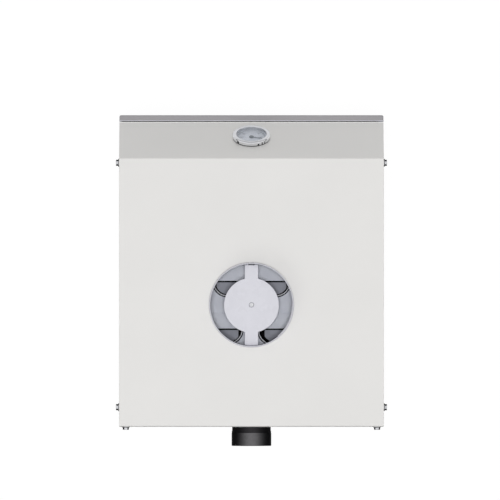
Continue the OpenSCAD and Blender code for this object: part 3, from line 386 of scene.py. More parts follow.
def chrome_plate():
    """Decorative chrome on pressed brass: a clear mirror with the faint waves of the pressing."""
    material, tree, shader, place = begin("chrome_plate", Metallic=1.0, Roughness=0.09)
    speckle(tree, shader, place, "#F2F3F5", "#EAEBEE", 15)
    wave = add(tree, "ShaderNodeTexNoise", {"Vector": place, "Scale": 1000 / 9.0, "Detail": 1.0})
    relief(tree, shader, wave.outputs["Fac"], 0.05, 0.4)
    return material


FINISHES = {
    "white_sheet": powder_coat("white_powder_coat", "#E4E3E1", "#E2E1DF", 0.42),
    "grey_sheet": powder_coat("grey_powder_coat", "#9B999C", "#969497", 0.46),
    "zinc_sheet": galvanised_sheet("galvanised_sheet", "#D6D6DD", "#DBDBE2"),
    "bright_steel": plated_steel(),
    "raw_steel": phosphated_steel(),
    "dark_steel": stove_enamel(),
    # The pipe lacquer's lighter top colour is a painted highlight
    "black_paint": pipe_lacquer("pipe_lacquer", "#353436", "#0D0D0E"),
    "aluminium_casting": cast_aluminium(),
    "brass": warm_metal("turned_brass", "#CDA964", "#B48D4C", 0.24),
    "copper": warm_metal("drawn_copper", "#C4805E", "#A1634A", 0.28),
    "black_plastic": moulded_plastic("black_abs", "#232325", "#1C1C1E", 0.45),
    "red_plastic": moulded_plastic("red_abs", "#B32A20", "#A3231B", 0.4),
    "ceramic": glazed_ceramic(),
    "clear_glass": window_glass(),
    "wool": mineral_wool(),
    "foil_wool": foil_facing(),
    "dial_paint": dial_face(),
    "pointer_paint": dial_ink("pointer_enamel", "#4A545F", "#424B55"),
}
CHROME = chrome_plate()
SCALE_INK = dial_ink("scale_ink", "#414B58", "#3B4552")
SATIN = satin_plate()
SCREW = black_zinc()
BARE_STEEL = cut_steel()
PAINTED_SHADE = soot_coat()
WELD = weld_bead()
BAFFLE_PAINTED_SHADE = heat_scale()
PRINT = print_paint()
DULL_ZINC = galvanised_sheet("weathered_zinc", "#C4C4CA", "#CBCBD2")
# The collar's pale top colour is a painted highlight, stronger than the pipe's
COLLAR = pipe_lacquer("socket_lacquer", "#6C6B6D", "#09090A")

for row in frame["record"]["subparts"]:
    node = frame["nodes"][row["node"]]
    if not node.material_slots:
        node.data.materials.append(FINISHES[row["material_slot"]])
    for place in node.material_slots:
        place.material = FINISHES[row["material_slot"]]
frame["nodes"]["door_liner"].material_slots[0].material = DULL_ZINC


# Making pieces: every shape is drawn in millimetres

def mesh_of(name, shape):
    """A drawn shape as a mesh."""
    mesh = bpy.data.meshes.new(name)
    shape.to_mesh(mesh)
    shape.free()
    return mesh


def linked(name, data):
    """A new object of the scene for a mesh, text, lamp or camera."""
    made = bpy.data.objects.new(name, data)
    bpy.context.scene.collection.objects.link(made)
    return made


def piece(name, shape, slot, material=None, body="boiler", stands_for=(), at=None, smooth=32):
    """Turns a drawn shape into a piece of the boiler that moves with a body."""
    if at is not None:
        bmesh.ops.transform(shape, matrix=at, verts=shape.verts)
    bmesh.ops.scale(shape, vec=(MM, MM, MM), verts=shape.verts)
    mesh = mesh_of(name, shape)
    mesh.shade_smooth()
    mesh.set_sharp_from_angle(angle=math.radians(smooth))
    made = linked(name, mesh)
    mesh.materials.append(material or FINISHES[slot])
    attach(made, body)
    if stands_for:
        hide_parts(*stands_for)


def outward(shape):
    """The shape with all its faces turned outwards."""
    bmesh.ops.recalc_face_normals(shape, faces=shape.faces)
    return shape


def rounded(corners, steps):
    """A closed outline from corners (x, y, radius), each rounded in the given number of steps."""
    line = []
    for i, (x, y, r) in enumerate(corners):
        here = Vector((x, y))
        back = (Vector(corners[i - 1][:2]) - here).normalized()
        on = (Vector(corners[(i + 1) % len(corners)][:2]) - here).normalized()
        if r <= 0:
            line.append((x, y))
            continue
        half = math.acos(max(-1.0, min(1.0, back.dot(on)))) / 2
        start = here + back * (r / math.tan(half))
        end = here + on * (r / math.tan(half))
        centre = here + (back + on).normalized() * (r / math.sin(half))
        for k in range(steps + 1):
            spoke = (start - centre).lerp(end - centre, k / steps).normalized() * r
            line.append(tuple(centre + spoke))
    return line


def oblong(half_x, half_y, radius, steps):
    """Outline of a rectangle with round corners."""
    return rounded([(-half_x, -half_y, radius), (half_x, -half_y, radius), (half_x, half_y, radius),
                    (-half_x, half_y, radius)], steps)


def skin(shape, rings, closed=False):
    """Faces from each ring of corners to the next, then back to the first ring or over both ends."""
    for a, b in zip(rings, rings[1:] + rings[:1] if closed else rings[1:]):
        for k in range(len(a)):
            m = (k + 1) % len(a)
            shape.faces.new((a[k], b[k], b[m], a[m]))
    if not closed:
        shape.faces.new(rings[0][::-1])
        shape.faces.new(rings[-1])


def turned(outline, steps=96):
    """A closed outline (radius, height) turned about Z."""
    shape = bmesh.new()
    rings = []
    for k in range(steps):
        a = 2 * math.pi * k / steps
        rings.append([shape.verts.new((r * math.cos(a), r * math.sin(a), z)) for r, z in outline])
    skin(shape, rings, closed=True)
    bmesh.ops.remove_doubles(shape, verts=shape.verts, dist=1e-5)
    return outward(shape)


def tube(bore, radius, low, high, steps=96):
    """A plain tube about Z, or a bar where the bore is zero."""
    return turned([(bore, low), (radius, low), (radius, high), (bore, high)], steps)


def slab(outline, low, high):
    """A closed outline (x, y) raised from one height to another."""
    shape = bmesh.new()
    face = shape.faces.new([shape.verts.new((x, y, low)) for x, y in outline])
    lifted = bmesh.ops.extrude_face_region(shape, geom=[face])["geom"]
    top = [v for v in lifted if isinstance(v, bmesh.types.BMVert)]
    bmesh.ops.translate(shape, verts=top, vec=(0, 0, high - low))
    return outward(shape)


def eased(shape, edges, radius, steps, clamp=True):
    """Rounds the given edges of a shape."""
    bmesh.ops.bevel(shape, geom=edges, offset=radius, segments=steps, profile=0.5, affect="EDGES",
                    clamp_overlap=clamp)


def block(low, high, radius=0.0, steps=3):
    """A box between two corners, with all its edges rounded if it has a radius."""
    outline = [(low[0], low[1]), (high[0], low[1]), (high[0], high[1]), (low[0], high[1])]
    shape = slab(outline, low[2], high[2])
    if radius:
        eased(shape, list(shape.edges), radius, steps)
    return shape


def join(shapes):
    """Several shapes as one."""
    whole = bmesh.new()
    for shape in shapes:
        mesh = mesh_of("part", shape)
        whole.from_mesh(mesh)
        bpy.data.meshes.remove(mesh)
    return whole


def moved(shape, matrix):
    """The shape put at a place."""
    bmesh.ops.transform(shape, matrix=matrix, verts=shape.verts)
    return shape


def shaped(shape, modifiers):
    """The shape after modifiers that a function adds to a stand-in object; millimetres are kept."""
    mesh = mesh_of("work", shape)
    work = linked("work", mesh)
    modifiers(work)
    bpy.context.view_layer.update()
    result = bpy.data.meshes.new_from_object(work.evaluated_get(bpy.context.evaluated_depsgraph_get()))
    done = bmesh.new()
    done.from_mesh(result)
    bpy.data.objects.remove(work)
    bpy.data.meshes.remove(mesh)
    bpy.data.meshes.remove(result)
    return done


def thickened(shape, thickness):
    """A sheet grown inwards to its thickness."""
    def fold(work):
        solid = work.modifiers.new("sheet", "SOLIDIFY")
        solid.thickness = thickness
        solid.offset = -1
        solid.use_even_offset = True
    return shaped(shape, fold)


def punched(shape, tools, way="DIFFERENCE"):
    """The shape with closed tools cut out of it, or joined to it."""
    mesh = mesh_of("tool", tools)
    tool = linked("tool", mesh)

    def punch(work):
        cut = work.modifiers.new("punch", "BOOLEAN")
        cut.operation = way
        cut.solver = "EXACT"
        cut.object = tool
    done = shaped(shape, punch)
    bpy.data.objects.remove(tool)
    bpy.data.meshes.remove(mesh)
    return done


def upright(x, y, z, turn=(0, 0, 0)):
    """A place with a turn about X, then Y, then Z, in degrees."""
    place = Matrix.Translation((x, y, z))
    for angle, axis in zip(reversed(turn), "ZYX"):
        place = place @ Matrix.Rotation(math.radians(angle), 4, axis)
    return place


def half_round(radius, front, left, right):
    """Outline of a half disc behind a chord, cut straight at its sides."""
    line = []
    first = math.asin(front / radius)
    for k in range(41):
        a = first + (math.pi - 2 * first) * k / 40
        line.append((min(right, max(left, radius * math.cos(a))), max(front, radius * math.sin(a))))
    return line


# Casing

def top_cover():
    """One sheet folded at the slope's foot, the slope, the rear and both sides."""
    band = FLANGE_H / math.sin(SLOPE)
    hem = 12.0
    band_z = COVER_TOP - FLANGE_H
    foot = SLOPE_Y - 0.25
    rear = REAR_Y - 0.6
    line = [
        (foot, SLOPE_Z), (foot, SLOPE_Z + 1.3), (SLOPE_Y + 1.3, SLOPE_Z + 1.9),
        (SLOPE_Y + SLOPE_RUN + 1.0, COVER_TOP), (rear, COVER_TOP), (rear, band_z),
        (SLOPE_Y + band + (band_z - SLOPE_Z) / math.tan(SLOPE), band_z), (SLOPE_Y + band, SLOPE_Z),
        (SLOPE_Y + hem, SLOPE_Z),
    ]
    shape = bmesh.new()
    left = [shape.verts.new((-HALF_W, y, z)) for y, z in line]
    right = [shape.verts.new((HALF_W, y, z)) for y, z in line]
    shape.faces.new(left)
    shape.faces.new(right[::-1])
    # The shell stays open below
    for i in (8, 0, 1, 2, 3, 4):
        j = (i + 1) % 9
        shape.faces.new((left[j], left[i], right[i], right[j]))
    outward(shape)
    # An open shell can come out inside out, which its flat top tells
    shape.faces.ensure_lookup_table()
    top = max(shape.faces, key=lambda f: f.calc_center_median().z)
    if top.normal.z < 0:
        bmesh.ops.reverse_faces(shape, faces=shape.faces)
    spots = [(round(y, 3), round(z, 3)) for y, z in line]
    folds, beads = [], []
    for edge in shape.edges:
        ends = {(round(v.co.y, 3), round(v.co.z, 3)) for v in edge.verts}
        if len(ends) == 1 and ends & set(spots[3:5]):
            folds.append(edge)
        elif len(ends) == 1 and ends & set(spots[:3]):
            beads.append(edge)
        elif any(ends == {spots[k], spots[k + 1]} for k in (2, 3, 4)):
            folds.append(edge)
    eased(shape, beads, 0.35, 3)
    eased(shape, [e for e in folds if e.is_valid], 0.9, 3)
    shape = thickened(shape, SHEET)
    flue = moved(tube(0, SPIGOT_R + 0.1, COVER_TOP - 20, COVER_TOP + 20), upright(0, FLUE_Y, 0))
    dial = moved(tube(0, 26.1, -20, 20), DIAL)
    shape = punched(shape, join([flue, dial]))
    # The rear flange is folded back up outside itself, with a hair of a groove between
    outer = REAR_Y + 0.25
    fold = slab(rounded([(REAR_Y - 1.4, band_z, 0), (outer, band_z, 0.3), (outer, COVER_TOP - 0.3, 0.15),
                         (REAR_Y - 0.2, COVER_TOP - 0.3, 0.12), (REAR_Y - 0.2, band_z + 1, 0),
                         (REAR_Y - 1.4, band_z + 1, 0)], 3), -HALF_W, HALF_W)
    turn = Matrix(((0, 0, 1, 0), (1, 0, 0, 0), (0, 1, 0, 0), (0, 0, 0, 1)))
    piece("casing_cover", join([shape, moved(fold, turn)]), "white_sheet", stands_for=["top_cover"])


def door():
    """Pressed door: a shallow tray of grey sheet with rounded edges, air slots and the hole of its pull."""
    foot, top, depth = 32, 600, 7.8
    shape = block((-HALF_W, DOOR_Y, foot), (HALF_W, DOOR_Y + depth, top))
    shape.faces.ensure_lookup_table()
    back = max(shape.faces, key=lambda f: f.calc_center_median().y)
    bmesh.ops.delete(shape, geom=[back], context="FACES_ONLY")
    eased(shape, [e for e in shape.edges if not e.is_boundary], 2.4, 5)
    shape = thickened(shape, SHEET)
    tools = []
    for x in (-144, -96, -48, 0, 48, 96, 144):
        for z in (54, 66, 78):
            slot = slab(oblong(17, 2.5, 2.4, 6), -6, 6)
            tools.append(moved(slot, upright(x, DOOR_Y, z, (90, 0, 0))))
    tools.append(moved(slab(oblong(13.3, 45.3, 3, 5), -6, 6), upright(*PULL, (90, 0, 0))))
    # Room for the lugs of the hinges
    for z in HINGE_ZS:
        tools.append(block((-205, DOOR_Y + 1.2, z - 0.8), (-191.4, DOOR_Y + 12, z + 3.3)))
    shape = punched(shape, join(tools))
    piece("door_face", shape, "grey_sheet", body="door", stands_for=["door_shell"])


def door_pull():
    """Finger cup pressed through the door, with a soft lip and a rounded hollow."""
    half_x, half_z = 13, 45
    lip = oblong(half_x, half_z, 2.6, 5)
    shape = bmesh.new()
    # How far each ring lies inside the lip, and how deep
    levels = [(0.0, 12.0), (0.0, 0.5), (0.5, 0.0), (1.2, 0.0), (1.7, 0.5), (1.9, 7.0), (3.2, 9.4),
              (5.6, 10.5)]
    rings = []
    for inset, depth in levels:
        wide, tall = (half_x - inset) / half_x, (half_z - inset) / half_z
        rings.append([shape.verts.new((x * wide, depth, z * tall)) for x, z in lip])
    skin(shape, rings)
    flange = block((-16, 9, -48), (16, 10, 48), 0.4, 2)
    piece("door_cup", join([outward(shape), flange]), "black_plastic", body="door",
          stands_for=["door_pull"], at=upright(*PULL))


def hex_screw():
    """Hexagon-flange screw with its seat at zero and its head towards +Z."""
    flange = turned(rounded([(0.2, 0, 0), (6.2, 0, 0.3), (6.2, 0.8, 0.3), (4.4, 1.7, 0.3), (0.2, 1.7, 0)],
                            3), 48)
    # 8 mm across flats
    corner = 8 / math.sqrt(3)
    turns = [math.radians(60 * k) for k in range(6)]
    head = slab([(corner * math.cos(a), corner * math.sin(a)) for a in turns], 1.3, 4.7)
    crown = [e for e in head.edges if all(v.co.z > 4.6 for v in e.verts)]
    eased(head, crown, 0.55, 3, clamp=False)
    dish = turned([(0.0, 4.5), (2.6, 4.5), (2.9, 4.72), (0.0, 4.72)], 32)
    shank = turned([(0.0, -9), (1.6, -9), (2.0, -8.4), (2.0, 0.2), (0.0, 0.2)], 24)
    return join([flange, head, dish, shank])


def cover_screws():
    """Six screws that hold the cover: two a side and two behind."""
    shapes = []
    flat_up = upright(0, 0, 0, (0, 0, 90))
    for y in (DOOR_Y + 72.3, REAR_Y - 29.3):
        for side in (1, -1):
            seat = upright(side * HALF_W, y, SCREW_Z, (0, side * 90, 0))
            shapes.append(moved(hex_screw(), seat @ flat_up))
    for x in (-HALF_W + 10.1, HALF_W - 10.1):
        shapes.append(moved(hex_screw(), upright(x, REAR_Y, SCREW_Z, (-90, 0, 0))))
    # The screws' pale top flats and near-black sides are painted light
    piece("cover_flange_screws", join(shapes), "bright_steel", SCREW, stands_for=["cover_screws"])


# Thermometer

def scale_angle(heat):
    """Angle on the dial of a temperature in degrees Celsius."""
    return math.radians(SCALE_START - heat * SCALE_SWEEP / SCALE_END)


def thermometer():
    """Chromed bezel with a satin lip and slots in its wall, the print on the dial, and the needle."""
    bezel = turned(rounded([
        (26.0, 1.1, 0), (28.25, 1.1, 0.2), (28.25, 5.4, 0.2), (27.9, 5.8, 0.1), (26.0, 5.8, 0),
    ], 4), 128)
    lip = turned(rounded([
        (27.9, 5.6, 0), (27.7, 6.4, 0.5), (25.6, 7.0, 1.0), (22.9, 6.7, 0.3), (22.5, 5.6, 0.1),
        (24.2, 5.6, 0), (24.2, 1.2, 0), (26.1, 1.2, 0), (26.1, 5.6, 0),
    ], 4), 128)
    # Slots in the wall show the black case; sizes follow the photograph, from the side towards the flue
    slots = []
    for turn, wide, high in ((46, 4.2, 4.6), (-22, 2.6, 3.4), (-35, 1.8, 4.8), (-45, 1.8, 4.8)):
        slot = block((-wide / 2, 27.6, 1.2), (wide / 2, 28.32, high), 0.2, 2)
        slots.append(moved(slot, Matrix.Rotation(math.radians(-turn), 4, "Z")))
    piece("bezel_slots", join(slots), "black_plastic", at=DIAL)
    piece("dial_lip", lip, "bright_steel", SATIN, at=DIAL, smooth=40)
    rim = turned(rounded([(26.0, 0, 0), (28.1, 0, 0), (28.1, 1.05, 0.2), (26.0, 1.05, 0)], 3), 128)
    piece("dial_case_rim", rim, "black_plastic", at=DIAL)
    piece("dial_bezel", bezel, "bright_steel", CHROME, stands_for=["thermometer_bezel"], at=DIAL, smooth=40)

    # A mark every 2 degrees, longer every 10 and longest every 20, inside a thin ring of print
    scale_r, number_r = 21.2, 14.6
    low, high = 0.8, 0.84
    marks = []
    for heat in range(0, SCALE_END + 1, 2):
        long, wide = (3.8, 0.6) if heat % 20 == 0 else (2.8, 0.42) if heat % 10 == 0 else (1.9, 0.28)
        mark = block((scale_r - long, -wide / 2, low), (scale_r, wide / 2, high))
        marks.append(moved(mark, Matrix.Rotation(scale_angle(heat), 4, "Z")))
    marks.append(tube(scale_r, 21.5, low, high, 128))
    for heat in range(0, SCALE_END + 1, 20):
        angle = scale_angle(heat)
        text = bpy.data.curves.new("number", "FONT")
        text.body = str(heat)
        text.size = 4.2
        text.align_x = "CENTER"
        text.align_y = "CENTER"
        text.extrude = 0.02
        text.offset = 0.04
        word = linked("number", text)
        bpy.context.view_layer.update()
        mesh = bpy.data.meshes.new_from_object(word.evaluated_get(bpy.context.evaluated_depsgraph_get()))
        shape = bmesh.new()
        shape.from_mesh(mesh)
        spot = (number_r * math.cos(angle), number_r * math.sin(angle), (low + high) / 2)
        marks.append(moved(shape, Matrix.Translation(spot)))
        bpy.data.objects.remove(word)
        bpy.data.curves.remove(text)
        bpy.data.meshes.remove(mesh)
    piece("dial_print", join(marks), "dial_paint", SCALE_INK, at=DIAL)

    hub = turned(rounded([(0, 0.9, 0), (3.4, 0.9, 0), (3.4, 2.3, 0.9), (0, 2.9, 0)], 6), 48)
    pin = tube(0, 0.9, -4, 1.3, 24)
    needle = slab([(-3, -0.9), (0, -0.9), (9, -0.5), (12.5, -1.0), (16.7, -0.25), (16.7, 0.25), (12.5, 1.0),
                   (9, 0.5), (0, 0.9), (-3, 0.9)], 1.1, 1.6)
    upper = [e for e in needle.edges if all(v.co.z > 1.5 for v in e.verts)]
    eased(needle, upper, 0.15, 2, clamp=False)
    moved(needle, Matrix.Rotation(scale_angle(SHOWN), 4, "Z"))
    piece("dial_needle", join([hub, pin, needle]), "pointer_paint", body="pointer",
          stands_for=["thermometer_pointer"], at=DIAL)


# Flue

def flue_spigot():
    """Rolled tube with a soft rim and the lap of its rolled sheet inside, on a flat foot."""
    wall = turned(rounded([
        (SPIGOT_BORE, 656, 0), (76, 656, 0.3), (76, 657.5, 0.4), (SPIGOT_R, 657.5, 0),
        (SPIGOT_R, SPIGOT_TOP, 0.9), (SPIGOT_BORE, SPIGOT_TOP, 0.9),
    ], 4), 160)
    # The sheet laps itself over 50 degrees inside the tube
    lap = bmesh.new()
    section = ((61.9, 658), (60.9, 658), (60.9, SPIGOT_TOP - 1.0), (61.9, SPIGOT_TOP - 0.4))
    rings = []
    for k in range(33):
        a = math.radians(180 - 50 * k / 32)
        rings.append([lap.verts.new((r * math.cos(a), r * math.sin(a), z)) for r, z in section])
    skin(lap, rings)
    piece("flue_collar", join([wall, outward(lap)]), "zinc_sheet", DULL_ZINC, stands_for=["flue_spigot"],
          at=upright(0, FLUE_Y, 0))


def deflector():
    """Disc and strap in one sheet; the strap's ends are bent down along the wall, the front one notched."""
    thick = 1.2
    reach = 61.7
    foot = -16.0
    half = 10
    bend = 2.0
    inner = bend - thick
    turns = [math.radians(18 * k) for k in range(6)]
    shape = bmesh.new()
    rings = []
    # Sections across the strap; the notch in its front end is 9.5 mm wide
    for x in (-half, -9.7, -7, -4.76, -4.74, 0, 4.74, 4.76, 7, 9.7, half):
        end = math.sqrt(reach ** 2 - x ** 2)
        over = [(end - bend + bend * math.sin(a), thick - bend + bend * math.cos(a)) for a in turns]
        under = [(end - bend + inner * math.sin(a), thick - bend + inner * math.cos(a))
                 for a in reversed(turns)]
        leg = [(end, foot), (end - thick, foot)]
        # The long edges are eased by a fifth of a millimetre
        edge = 0.22 if abs(x) == half else 0.0
        rear = over + leg + under
        if abs(x) < 4.75:
            front = [(end - 1.9, thick)] * 7 + [(end - 1.9, 0.0)] * 7
        else:
            front = rear
        line = [(-y, z) for y, z in reversed(front)] + rear
        middle = thick / 2
        rings.append([shape.verts.new((x, y, z - edge if z > middle else z + (edge if z > -1 else 0)))
                      for y, z in line])
    skin(shape, rings)
    bmesh.ops.remove_doubles(shape, verts=shape.verts, dist=1e-4)
    outward(shape)
    # A hair thinner than the strap, so that the two join without faces in one plane
    disc_r = 41.3
    low, high = 0.02, thick - 0.02
    disc = turned(rounded([(0, low, 0), (disc_r, low, 0.25), (disc_r, high, 0.3), (0, high, 0)], 3), 128)
    # The disc sits a little behind the strap's middle in the photograph
    shape = punched(moved(disc, upright(0, 0.6, 0)), shape, "UNION")
    here = upright(0, FLUE_Y, SPIGOT_TOP - 12)
    piece("deflector_plate", shape, "zinc_sheet", stands_for=["draught_deflector"], at=here, smooth=28)
    head = turned(rounded([(0, 1.0, 0), (4.2, 1.0, 0.1), (4.0, 1.9, 0.5), (2.9, 3.0, 1.2), (0, 3.3, 0)], 5),
                  64)
    piece("deflector_rivet", join([head, tube(0, 1.5, -2, 1.1, 24)]), "zinc_sheet", FINISHES["bright_steel"],
          stands_for=["deflector_stud"], at=here)


def fire_tubes():
    """Fire tubes in their two plates: clean cut mouths, bores and a ring at each joint painted near black as
    painted shade, and a weld round each joint.
    """
    # The mouth is bright out to its chamfer; wall and the near-black painted shade run a little way up into
    # it
    mouth_r = 22.0
    joint_r = 23.1
    steps = 72
    tubes, mouths, bores, welds = [], [], [], []
    for x, y in TUBES.values():
        here = upright(x, FLUE_Y + y, 0)
        tubes.append(moved(tube(TUBE_BORE + 0.06, TUBE_R, TUBE_FOOT, TUBE_TOP - 1.4, 64), here))
        mouth = rounded([(TUBE_BORE, TUBE_TOP - 1.5, 0), (mouth_r, TUBE_TOP - 1.5, 0),
                         (mouth_r, TUBE_TOP, 0.3), (TUBE_BORE, TUBE_TOP, 0.4)], 3)
        mouths.append(moved(turned(mouth, steps), here))
        bores.append(moved(tube(TUBE_BORE, TUBE_BORE + 0.05, TUBE_FOOT, TUBE_TOP - 1.2, 64), here))
        bores.append(moved(tube(mouth_r, joint_r, PLATE_TOP + 0.5, PLATE_TOP + 1.9, steps), here))
        weld = bmesh.new()
        rings = []
        for m in range(steps):
            a = 2 * math.pi * m / steps
            # Eighteen ripples round the tube
            swell = 0.62 + 0.12 * math.sin(18 * a + x + y)
            ring = []
            for n in range(6):
                b = math.radians(-20 + 40 * n)
                r = joint_r + 0.1 + swell * math.cos(b)
                spot = (r * math.cos(a), r * math.sin(a), PLATE_TOP + swell * math.sin(b))
                ring.append(weld.verts.new(spot))
            rings.append(ring)
        skin(weld, rings, closed=True)
        welds.append(moved(outward(weld), here))
    # Both plates are drilled where the tubes stand; the lower one has the bore, the upper one the tube
    for node, name, r in (("upper_tube_plate", "drilled_tube_plate", TUBE_R + 0.06),
                          ("lower_tube_plate", "drilled_firebox_plate", TUBE_BORE)):
        low, high = [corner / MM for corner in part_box(node)]
        holes = []
        for x, y in TUBES.values():
            holes.append(moved(tube(0, r, low.z - 2, high.z + 2, 64), upright(x, FLUE_Y + y, 0)))
        piece(name, punched(block(low, high, 0.5, 2), join(holes)), "raw_steel", stands_for=[node])
    piece("fire_tube_walls", join(tubes), "raw_steel", stands_for=["smoke_tubes"])
    piece("fire_tube_mouths", join(mouths), "raw_steel", BARE_STEEL)
    # Bores and joint rings painted near black: painted shade
    piece("fire_tube_bores", join(bores), "raw_steel", PAINTED_SHADE)
    piece("tube_end_welds", join(welds), "raw_steel", WELD)


def combs():
    """Turbulators: a flange over the tube ends, folded legs, and half-round baffles down each tube."""
    thick = 1.2
    leg = 16.5
    foot = -200.0
    top, step = -16.2, 60.0
    flanges, legs, tops = [], [], []
    for y in TUBE_YS:
        flanges.append(block((-133.1, y - 23.7, 0), (133.1, y, thick), 0.25, 2))
    for (i, k), (tube_x, tube_y) in TUBES.items():
        x, y = TUBE_XS[i], TUBE_YS[k]
        tongue = TONGUE_XS.get((i, k), x)
        # The front leg, the rear leg and the fold that joins them at the foot
        for front, back, low, high in ((y - thick, y, foot, -0.1),
                                       (y + 2.8, y + 2.8 + thick, foot, top - 0.1),
                                       (y - 1.3, y + 4.1, foot - thick, foot + 0.2)):
            legs.append(block((tongue - leg, front, low), (tongue + leg, back, high), 0.2, 2))
        # The top baffle has a cut tip; the ones below it, painted near black as painted shade, fill their
        # tube
        middle_x, middle_y = SEEN_BAFFLES.get((i, k), (x, y))
        side = tongue - middle_x
        tip = half_round(18.4, y + 2.3 - middle_y, side - leg, side + leg)
        tops.append(moved(slab(tip, top, top + thick), upright(middle_x, middle_y, 0)))
        for level in (top - step, top - 2 * step):
            tip = half_round(19.9, y + 1.0 - tube_y, -19.9, 19.9)
            legs.append(moved(slab(tip, level, level + thick), upright(tube_x, tube_y, 0)))
    here = upright(0, FLUE_Y, TUBE_TOP)
    piece("comb_flanges", join(flanges), "raw_steel", stands_for=["turbulators"], at=here)
    # The legs and the lower baffles are painted near black as painted shade
    piece("comb_legs", join(legs), "raw_steel", PAINTED_SHADE, at=here)
    # The top baffles' darker grey is painted shade
    piece("comb_baffles", join(tops), "raw_steel", BAFFLE_PAINTED_SHADE, at=here)


def water_pipes():
    """Flow and return sockets: lacquered pipe with a smooth collar rounded at its end."""
    bore = 25
    end = REAR_Y + PIPE_OUT
    # The collar is the last 20 mm
    neck = end - 20
    for node, z in (("flow_pipe", FLOW_Z), ("return_pipe", RETURN_Z)):
        name = node.replace("pipe", "socket")
        here = upright(0, 0, z, (-90, 0, 0))
        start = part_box(node)[0].y / MM
        piece(name, tube(bore, 29.2, start, neck), "black_paint", stands_for=[node], at=here)
        collar = rounded([(bore, neck, 0), (30, neck, 0.4), (30, end, 0.9), (bore, end, 0.8)], 5)
        piece(name + "_collar", turned(collar), "black_paint", COLLAR, at=here)


# Gas train

def valve_body():
    """Die-cast valve: body with a raised cover, four screws and the outlet boss."""
    shapes = []
    for casting in (block((-40, 0, -27.5), (40, 50, 27.5), 3.0, 4),
                    block((-36, -1.6, -23.5), (36, 6, 23.5), 1.4, 3)):
        spindle_hole = moved(tube(0, 9.6, -8, 30, 48), upright(0, 0, 0, (-90, 0, 0)))
        shapes.append(punched(casting, spindle_hole))
    boss = turned(rounded([(0, 27, 0), (6, 27, 0), (6, 33.5, 0.6), (0, 33.5, 0)], 3), 48)
    shapes.append(moved(boss, upright(20, 25, 0)))
    for x in (-31, 31):
        for z in (-18.5, 18.5):
            head = turned(rounded([(0, 0, 0), (2.9, 0, 0), (2.9, 1.3, 0.4), (1.5, 1.3, 0), (1.3, 0.7, 0),
                                   (0, 0.7, 0)], 2), 32)
            shapes.append(moved(head, upright(x, -1.5, z, (90, 0, 0))))
    piece("valve_casting", join(shapes), "aluminium_casting", stands_for=["gas_valve"], at=upright(*VALVE))


def knob():
    """Moulded knob: skirt, grip with twelve hollows, dished cap, a printed mark and three stops."""
    x, y, z = VALVE
    place = upright(x, y - 5, z, (90, 0, 0))
    skirt = turned(rounded([(4.2, 0, 0), (21, 0, 0.3), (21, 2.2, 0.9), (17, 3.4, 0.8), (4.2, 3.4, 0)], 4), 96)
    grip_r, steps = 18.5, 120
    grip = bmesh.new()
    rings = []
    for inset, height in ((0, 2.6), (0.2, 5), (0.6, 14.6), (1.0, 16.2), (2.2, 17), (5.6, 16.4), (12, 15.8)):
        ring = []
        for k in range(steps):
            a = 2 * math.pi * k / steps
            # Twelve hollows of 1.5 mm round the side; the cap inside them is plain
            hollow = 1.5 * max(0.0, math.cos(12 * a)) ** 2 if inset < 5 else 0.0
            r = grip_r - inset - hollow
            ring.append(grip.verts.new((r * math.cos(a), r * math.sin(a), height)))
        rings.append(ring)
    skin(grip, rings)
    piece("knob_body", join([skirt, outward(grip)]), "black_plastic", body="knob",
          stands_for=["control_knob"], at=place)
    mark = block((-0.7, 8.5, 15.6), (0.7, 16, 17.0), 0.2, 2)
    piece("knob_mark", mark, "black_plastic", PRINT, body="knob", at=place)
    # A full dot for off, and two rings for pilot and on
    stop_r, raised = 22.8, 0.12
    dots = [moved(tube(0, 1.0, 0, raised, 24), upright(0, stop_r, 0))]
    for turn in (120, 240):
        a = math.radians(90 - turn)
        spot = upright(stop_r * math.cos(a), stop_r * math.sin(a), 0)
        dots.append(moved(tube(0.8, 1.4, 0, raised, 24), spot))
    piece("knob_stops", join(dots), "aluminium_casting", SCALE_INK, at=upright(x, y - 1.6, z, (90, 0, 0)))


top_cover()
door()
door_pull()
cover_screws()
thermometer()
flue_spigot()
deflector()
fire_tubes()
combs()
water_pipes()
valve_body()
knob()

# Soft edges on CAD sheets and castings that stay as they are
for name, width in {
    "feet": 0.8, "hinge_brackets": 0.3, "igniter_bracket": 0.3,
    "thermometer_clamp": 0.3, "front_rail": 0.2, "injectors": 0.25, "burner_plate": 0.4,
}.items():
    soft = frame["nodes"][name].modifiers.new("soft_edge", "BEVEL")
    soft.width = width * MM
    soft.segments = 2
    soft.limit_method = "ANGLE"
    soft.angle_limit = math.radians(40)
    soft.harden_normals = False


# Studio

def seen_rays(tree):
    """One for the rays of the camera, gloss and glass, and zero for the rest."""
    rays = add(tree, "ShaderNodeLightPath", {})
    gloss = add(tree, "ShaderNodeMath", {0: rays.outputs["Is Glossy Ray"],
                                         1: rays.outputs["Is Transmission Ray"]}, operation="MAXIMUM")
    seen = add(tree, "ShaderNodeMath", {0: rays.outputs["Is Camera Ray"], 1: gloss.outputs["Value"]},
               operation="MAXIMUM")
    return seen.outputs["Value"]


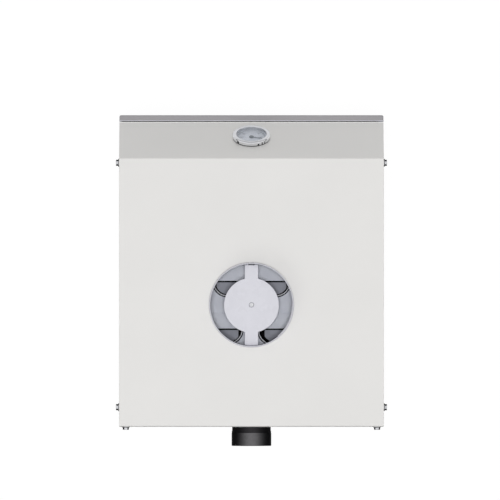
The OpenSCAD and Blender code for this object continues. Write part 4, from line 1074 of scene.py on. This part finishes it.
def studio():
    """Pale floor, dark band for gloss, white surround, two lamps and a long lens straight above."""
    grid = bmesh.new()
    bmesh.ops.create_grid(grid, x_segments=8, y_segments=8, size=60.0)
    mesh = mesh_of("floor", grid)
    floor = linked("floor", mesh)
    floor.location.z = -0.0004
    material = bpy.data.materials.new("pale_floor")
    material.use_nodes = True
    tree = material.node_tree
    tree.nodes.clear()
    matt = add(tree, "ShaderNodeBsdfDiffuse", {"Color": colour("#C2C2C2")})
    glow = add(tree, "ShaderNodeEmission", {"Color": (1, 1, 1, 1), "Strength": 1.08})
    # Most of what the camera and gloss see is white glow; the rest takes the shadow of the boiler
    share = add(tree, "ShaderNodeMath", {0: seen_rays(tree), 1: 0.88}, operation="MULTIPLY")
    mix = add(tree, "ShaderNodeMixShader", {0: share.outputs["Value"], 1: matt.outputs["BSDF"],
                                            2: glow.outputs["Emission"]})
    add(tree, "ShaderNodeOutputMaterial", {"Surface": mix.outputs["Shader"]})
    mesh.materials.append(material)

    # Black cloth that only gloss sees: a band round the horizon
    cloth = bpy.data.materials.new("black_cloth")
    cloth.use_nodes = True
    weave = cloth.node_tree.nodes["Principled BSDF"]
    weave.inputs["Base Color"].default_value = colour("#101010")
    weave.inputs["Roughness"].default_value = 1.0
    height = 2.6
    wall = bmesh.new()
    bmesh.ops.create_cone(wall, segments=64, radius1=12, radius2=12, depth=height, cap_ends=False)
    bmesh.ops.translate(wall, verts=wall.verts, vec=(0, 0, height / 2))
    mesh = mesh_of("dark_band", wall)
    mesh.materials.append(cloth)
    band = linked("dark_band", mesh)
    for sight in ("camera", "diffuse", "shadow", "transmission"):
        setattr(band, "visible_" + sight, False)

    world = bpy.data.worlds.new("white_surround")
    bpy.context.scene.world = world
    world.use_nodes = True
    tree = world.node_tree
    tree.nodes.clear()
    # White where it is seen, and dimmer as a light
    level = add(tree, "ShaderNodeMapRange", {"Value": seen_rays(tree), "To Min": 0.38, "To Max": 1.0})
    light = add(tree, "ShaderNodeBackground", {"Color": (1, 1, 1, 1), "Strength": level.outputs["Result"]})
    add(tree, "ShaderNodeOutputWorld", {"Surface": light.outputs["Background"]})

    # Shares of the strength that lights white paper to full white
    for name, share, spread, lean in (("top_light", 0.535, 5, (0.0, 0.012, 1.0)),
                                      ("side_soft_light", 0.09, 34, (0.3, 0.5, 1.0))):
        lamp = bpy.data.lights.new(name, "SUN")
        lamp.energy = share * math.pi
        lamp.angle = math.radians(spread)
        light = linked(name, lamp)
        light.rotation_euler = Vector(lean).to_track_quat("Z", "Y").to_euler()
        light.visible_glossy = False

    lens = bpy.data.cameras.new("camera")
    lens.lens = 1500
    lens.sensor_width = 36
    lens.clip_start = 1
    lens.clip_end = 200
    camera = linked("camera", lens)
    # Metres seen across at the cover's height, and the middle of the picture
    width = 0.7534
    camera.location = (0.0022, -0.0464, COVER_TOP * MM + width * lens.lens / lens.sensor_width)
    camera.rotation_euler = (0, 0, math.pi)
    bpy.context.scene.camera = camera


studio()
bpy.context.scene.view_settings.view_transform = "Standard"
